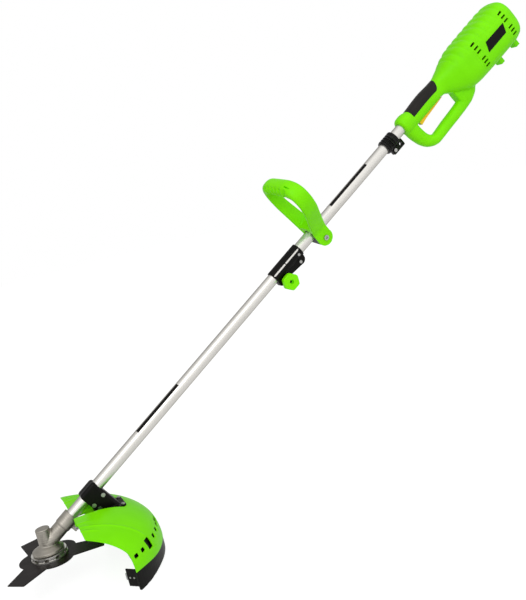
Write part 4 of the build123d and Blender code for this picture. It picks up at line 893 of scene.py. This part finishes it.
# Grip inlay: a soft black rubber pad let into the grip's back, moulded with a fine pebble grain.
# It stands a little proud of the grip and runs out to a round tongue at its rear end.
inlay_ends = 1.2415, 1.3435
inlay_proud = 0.0008
inlay_depth = 0.0016
inlay_edge = radians(4)
tongue_start = 1.3255
tongue_length = 0.018
tongue_closing = radians(80)
tongue_roundness = 2.4
body_stations = [row[0] for row in body_sections]
body_sizes = [row[1:] for row in body_sections]
inlay_rings = []
for station in numpy.linspace(*inlay_ends, 60):
    half, top, bottom, exponent = eased(body_stations, body_sizes, numpy.array([station]))[0]
    narrowing = max(0.0, (station - tongue_start) / tongue_length) ** tongue_roundness
    low = inlay_edge + tongue_closing * narrowing
    y, v = squared(numpy.linspace(low, pi - low, 40), exponent)
    middle = (top + bottom) / 2
    tall = (top - bottom) / 2
    outer = [
        shaft_at(station, (half + inlay_proud) * a, middle + (tall + inlay_proud) * b) for a, b in zip(y, v)
    ]
    inner = [
        shaft_at(station, (half - inlay_depth) * a, middle + (tall - inlay_depth) * b) for a, b in zip(y, v)
    ]
    inlay_rings.append(outer + inner[::-1])
inlay_pad = ringed("inlay_pad", inlay_rings)
worked(housing_skin, inlay_pad, keep=True)
stand_for(inlay_pad, matt_rubber, "black_rubber", "upper", "grip_inlay")

# Housing halves: the two mouldings that the housing comes apart into at the middle, with a
# hairline seam between them. Bright screws hold them, and a rubber gland sits in the rear wall.
seam = 0.0001
right_half = new_piece("housing_right_moulded", housing_skin.data.copy())
right_side = block("right_side", shaft_at, station=(1.1, 1.7), right=(seam, 0.2), up=(-0.2, 0.2))
worked(right_half, right_side, "INTERSECT")
stand_for(right_half, lime_moulded, "green_plastic", "upper", "housing_right")
left_half = housing_skin
left_half.name = "housing_left_moulded"
left_side = block("left_side", shaft_at, station=(1.1, 1.7), right=(-0.2, -seam), up=(-0.2, 0.2))
worked(left_half, left_side, "INTERSECT")
stand_for(left_half, lime_moulded, "green_plastic", "upper", "housing_left")
dress(zinc_bright, "housing_screws")
dress(matt_rubber, "cord_gland")

# Side plates: a bare black moulded plate, cut to a slanted outline and stuck on the raised panel
# of each side between the two rows of ventilation slots.
plate_corners = ((1.4850, -0.002), (1.5510, -0.003), (1.5430, -0.025), (1.4760, -0.025))
plate_depths = (0.0490, 0.0518)
for side, name in ((-1, "left_plate"), (1, "right_plate")):
    rings = [[shaft_at(s, side * depth, v) for s, v in plate_corners] for depth in plate_depths]
    plate = ringed(name, rings)
    stand_for(plate, black_moulded, "black_plastic", "upper")

# Trigger: an amber moulding that swings up into the grip on a steel pin. Its wire spring stands
# between the trigger and the grip's roof, kept here as one rigid coil on the housing.
amber_moulded = plain_finish(
    "amber_moulded", tone=(0.95, 0.60, 0.012), shade=(0.90, 0.54, 0.009), roughness=0.38, shine=0.3
)
trigger_moulded = softened("trigger_moulded", "trigger", voxel=0.0005, rounds=3)
stand_for(trigger_moulded, amber_moulded, "amber_plastic", "trigger", "trigger")
dress(zinc_bright, "trigger_pin")
spring_coil = new_piece("spring_coil", frame["nodes"]["trigger_spring"].data.copy())
stand_for(spring_coil, zinc_bright, "zinc_steel", "upper", "trigger_spring")
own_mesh(spring_coil)

# The stage: a pale floor under the head that shows white to the eye and keeps a faint shadow,
# soft studio light and a camera that stands where the photograph was taken from.
floor_drop = 0.0005
floor_radius = 6
floor_sides = 64
floor_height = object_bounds()[0][2] - floor_drop
floor_angles = [2 * pi * k / floor_sides for k in range(floor_sides)]
floor_points = [(floor_radius * cos(a), floor_radius * sin(a), floor_height) for a in floor_angles]
floor_mesh = bpy.data.meshes.new("floor")
floor_mesh.from_pydata(floor_points, [], [range(floor_sides)])
floor = new_piece("floor", floor_mesh)
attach(floor, "lower")
floor_pale = plain_finish(
    "floor_pale", tone=(0.8, 0.8, 0.8), shade=(0.79, 0.79, 0.79), roughness=0.16, patch=1.0, depth=0.0
)
floor_tree = floor_pale.node_tree
glow = floor_tree.nodes.new("ShaderNodeEmission")
glow.inputs["Color"].default_value = (1, 1, 1, 1)
glow.inputs["Strength"].default_value = 1.25


def whitened(tree, seen_share, mirrored_share):
    """Share of white that the stage shows to the eye and through clear things, and in reflections."""
    path = tree.nodes.new("ShaderNodeLightPath")
    direct = tree.nodes.new("ShaderNodeMath")
    direct.operation = "MAXIMUM"
    seen = tree.nodes.new("ShaderNodeMath")
    seen.operation = "MULTIPLY"
    seen.inputs[1].default_value = seen_share
    mirrored = tree.nodes.new("ShaderNodeMath")
    mirrored.operation = "MULTIPLY"
    mirrored.inputs[1].default_value = mirrored_share
    either = tree.nodes.new("ShaderNodeMath")
    either.operation = "MAXIMUM"
    tree.links.new(path.outputs["Is Camera Ray"], direct.inputs[0])
    tree.links.new(path.outputs["Is Transmission Ray"], direct.inputs[1])
    tree.links.new(direct.outputs["Value"], seen.inputs[0])
    tree.links.new(path.outputs["Is Glossy Ray"], mirrored.inputs[0])
    tree.links.new(seen.outputs["Value"], either.inputs[0])
    tree.links.new(mirrored.outputs["Value"], either.inputs[1])
    return either.outputs["Value"]


blend = floor_tree.nodes.new("ShaderNodeMixShader")
floor_white = whitened(floor_tree, seen_share=0.72, mirrored_share=0.25)
floor_tree.links.new(floor_white, blend.inputs["Fac"])
floor_tree.links.new(floor_tree.nodes["Principled BSDF"].outputs["BSDF"], blend.inputs[1])
floor_tree.links.new(glow.outputs["Emission"], blend.inputs[2])
floor_tree.links.new(blend.outputs["Shader"], floor_tree.nodes["Material Output"].inputs["Surface"])
floor_mesh.materials.append(floor_pale)

world = bpy.data.worlds.new("studio")
bpy.context.scene.world = world
world.use_nodes = True
sky = world.node_tree
direction = sky.nodes.new("ShaderNodeTexCoord")
frontal = sky.nodes.new("ShaderNodeVectorMath")
frontal.operation = "DOT_PRODUCT"
frontal.inputs[1].default_value = (-0.10, -0.93, 0.35)
facing_range = sky.nodes.new("ShaderNodeMapRange")
facing_range.inputs["From Min"].default_value = -1.0
dome = sky.nodes.new("ShaderNodeValToRGB")
dome.color_ramp.elements[0].position = 0.40
dome.color_ramp.elements[0].color = (0.25, 0.25, 0.25, 1)
dome.color_ramp.elements[1].position = 0.80
dome.color_ramp.elements[1].color = (1.15, 1.15, 1.15, 1)
backdrop = sky.nodes.new("ShaderNodeMix")
backdrop.data_type = "RGBA"
backdrop.inputs["B"].default_value = (1, 1, 1, 1)
sky_white = whitened(sky, seen_share=1.0, mirrored_share=0.4)
sky.links.new(direction.outputs["Generated"], frontal.inputs[0])
sky.links.new(frontal.outputs["Value"], facing_range.inputs["Value"])
sky.links.new(facing_range.outputs["Result"], dome.inputs["Fac"])
sky.links.new(sky_white, backdrop.inputs["Factor"])
sky.links.new(dome.outputs["Color"], backdrop.inputs["A"])
sky.links.new(backdrop.outputs["Result"], sky.nodes["Background"].inputs["Color"])

key_place = Vector((-0.8, -2.2, 2.4))
key_target = Vector((0.5, 0, 0.4))
key_lamp = bpy.data.lights.new("key", "AREA")
key_lamp.size = 1.6
key_lamp.energy = 18
key = bpy.data.objects.new("key", key_lamp)
key.location = key_place
key.rotation_euler = (key_target - key_place).to_track_quat("-Z", "Y").to_euler()
bpy.context.scene.collection.objects.link(key)

camera_place = Vector((-0.0886, -1.8378, 0.7814))
camera_right = Vector((0.8957, -0.3789, -0.2326)).normalized()
camera_forward = Vector((0.3405, 0.9210, -0.1891)).normalized()
camera_up = camera_right.cross(camera_forward)
eye = bpy.data.cameras.new("photograph")
eye.lens = 54.0
eye.sensor_width = 36.0
viewpoint = bpy.data.objects.new("photograph", eye)
turn = Matrix((camera_right, camera_up, -camera_forward)).transposed().to_4x4()
viewpoint.matrix_world = Matrix.Translation(camera_place) @ turn
bpy.context.scene.collection.objects.link(viewpoint)
bpy.context.scene.camera = viewpoint
bpy.context.scene.view_settings.view_transform = "Standard"
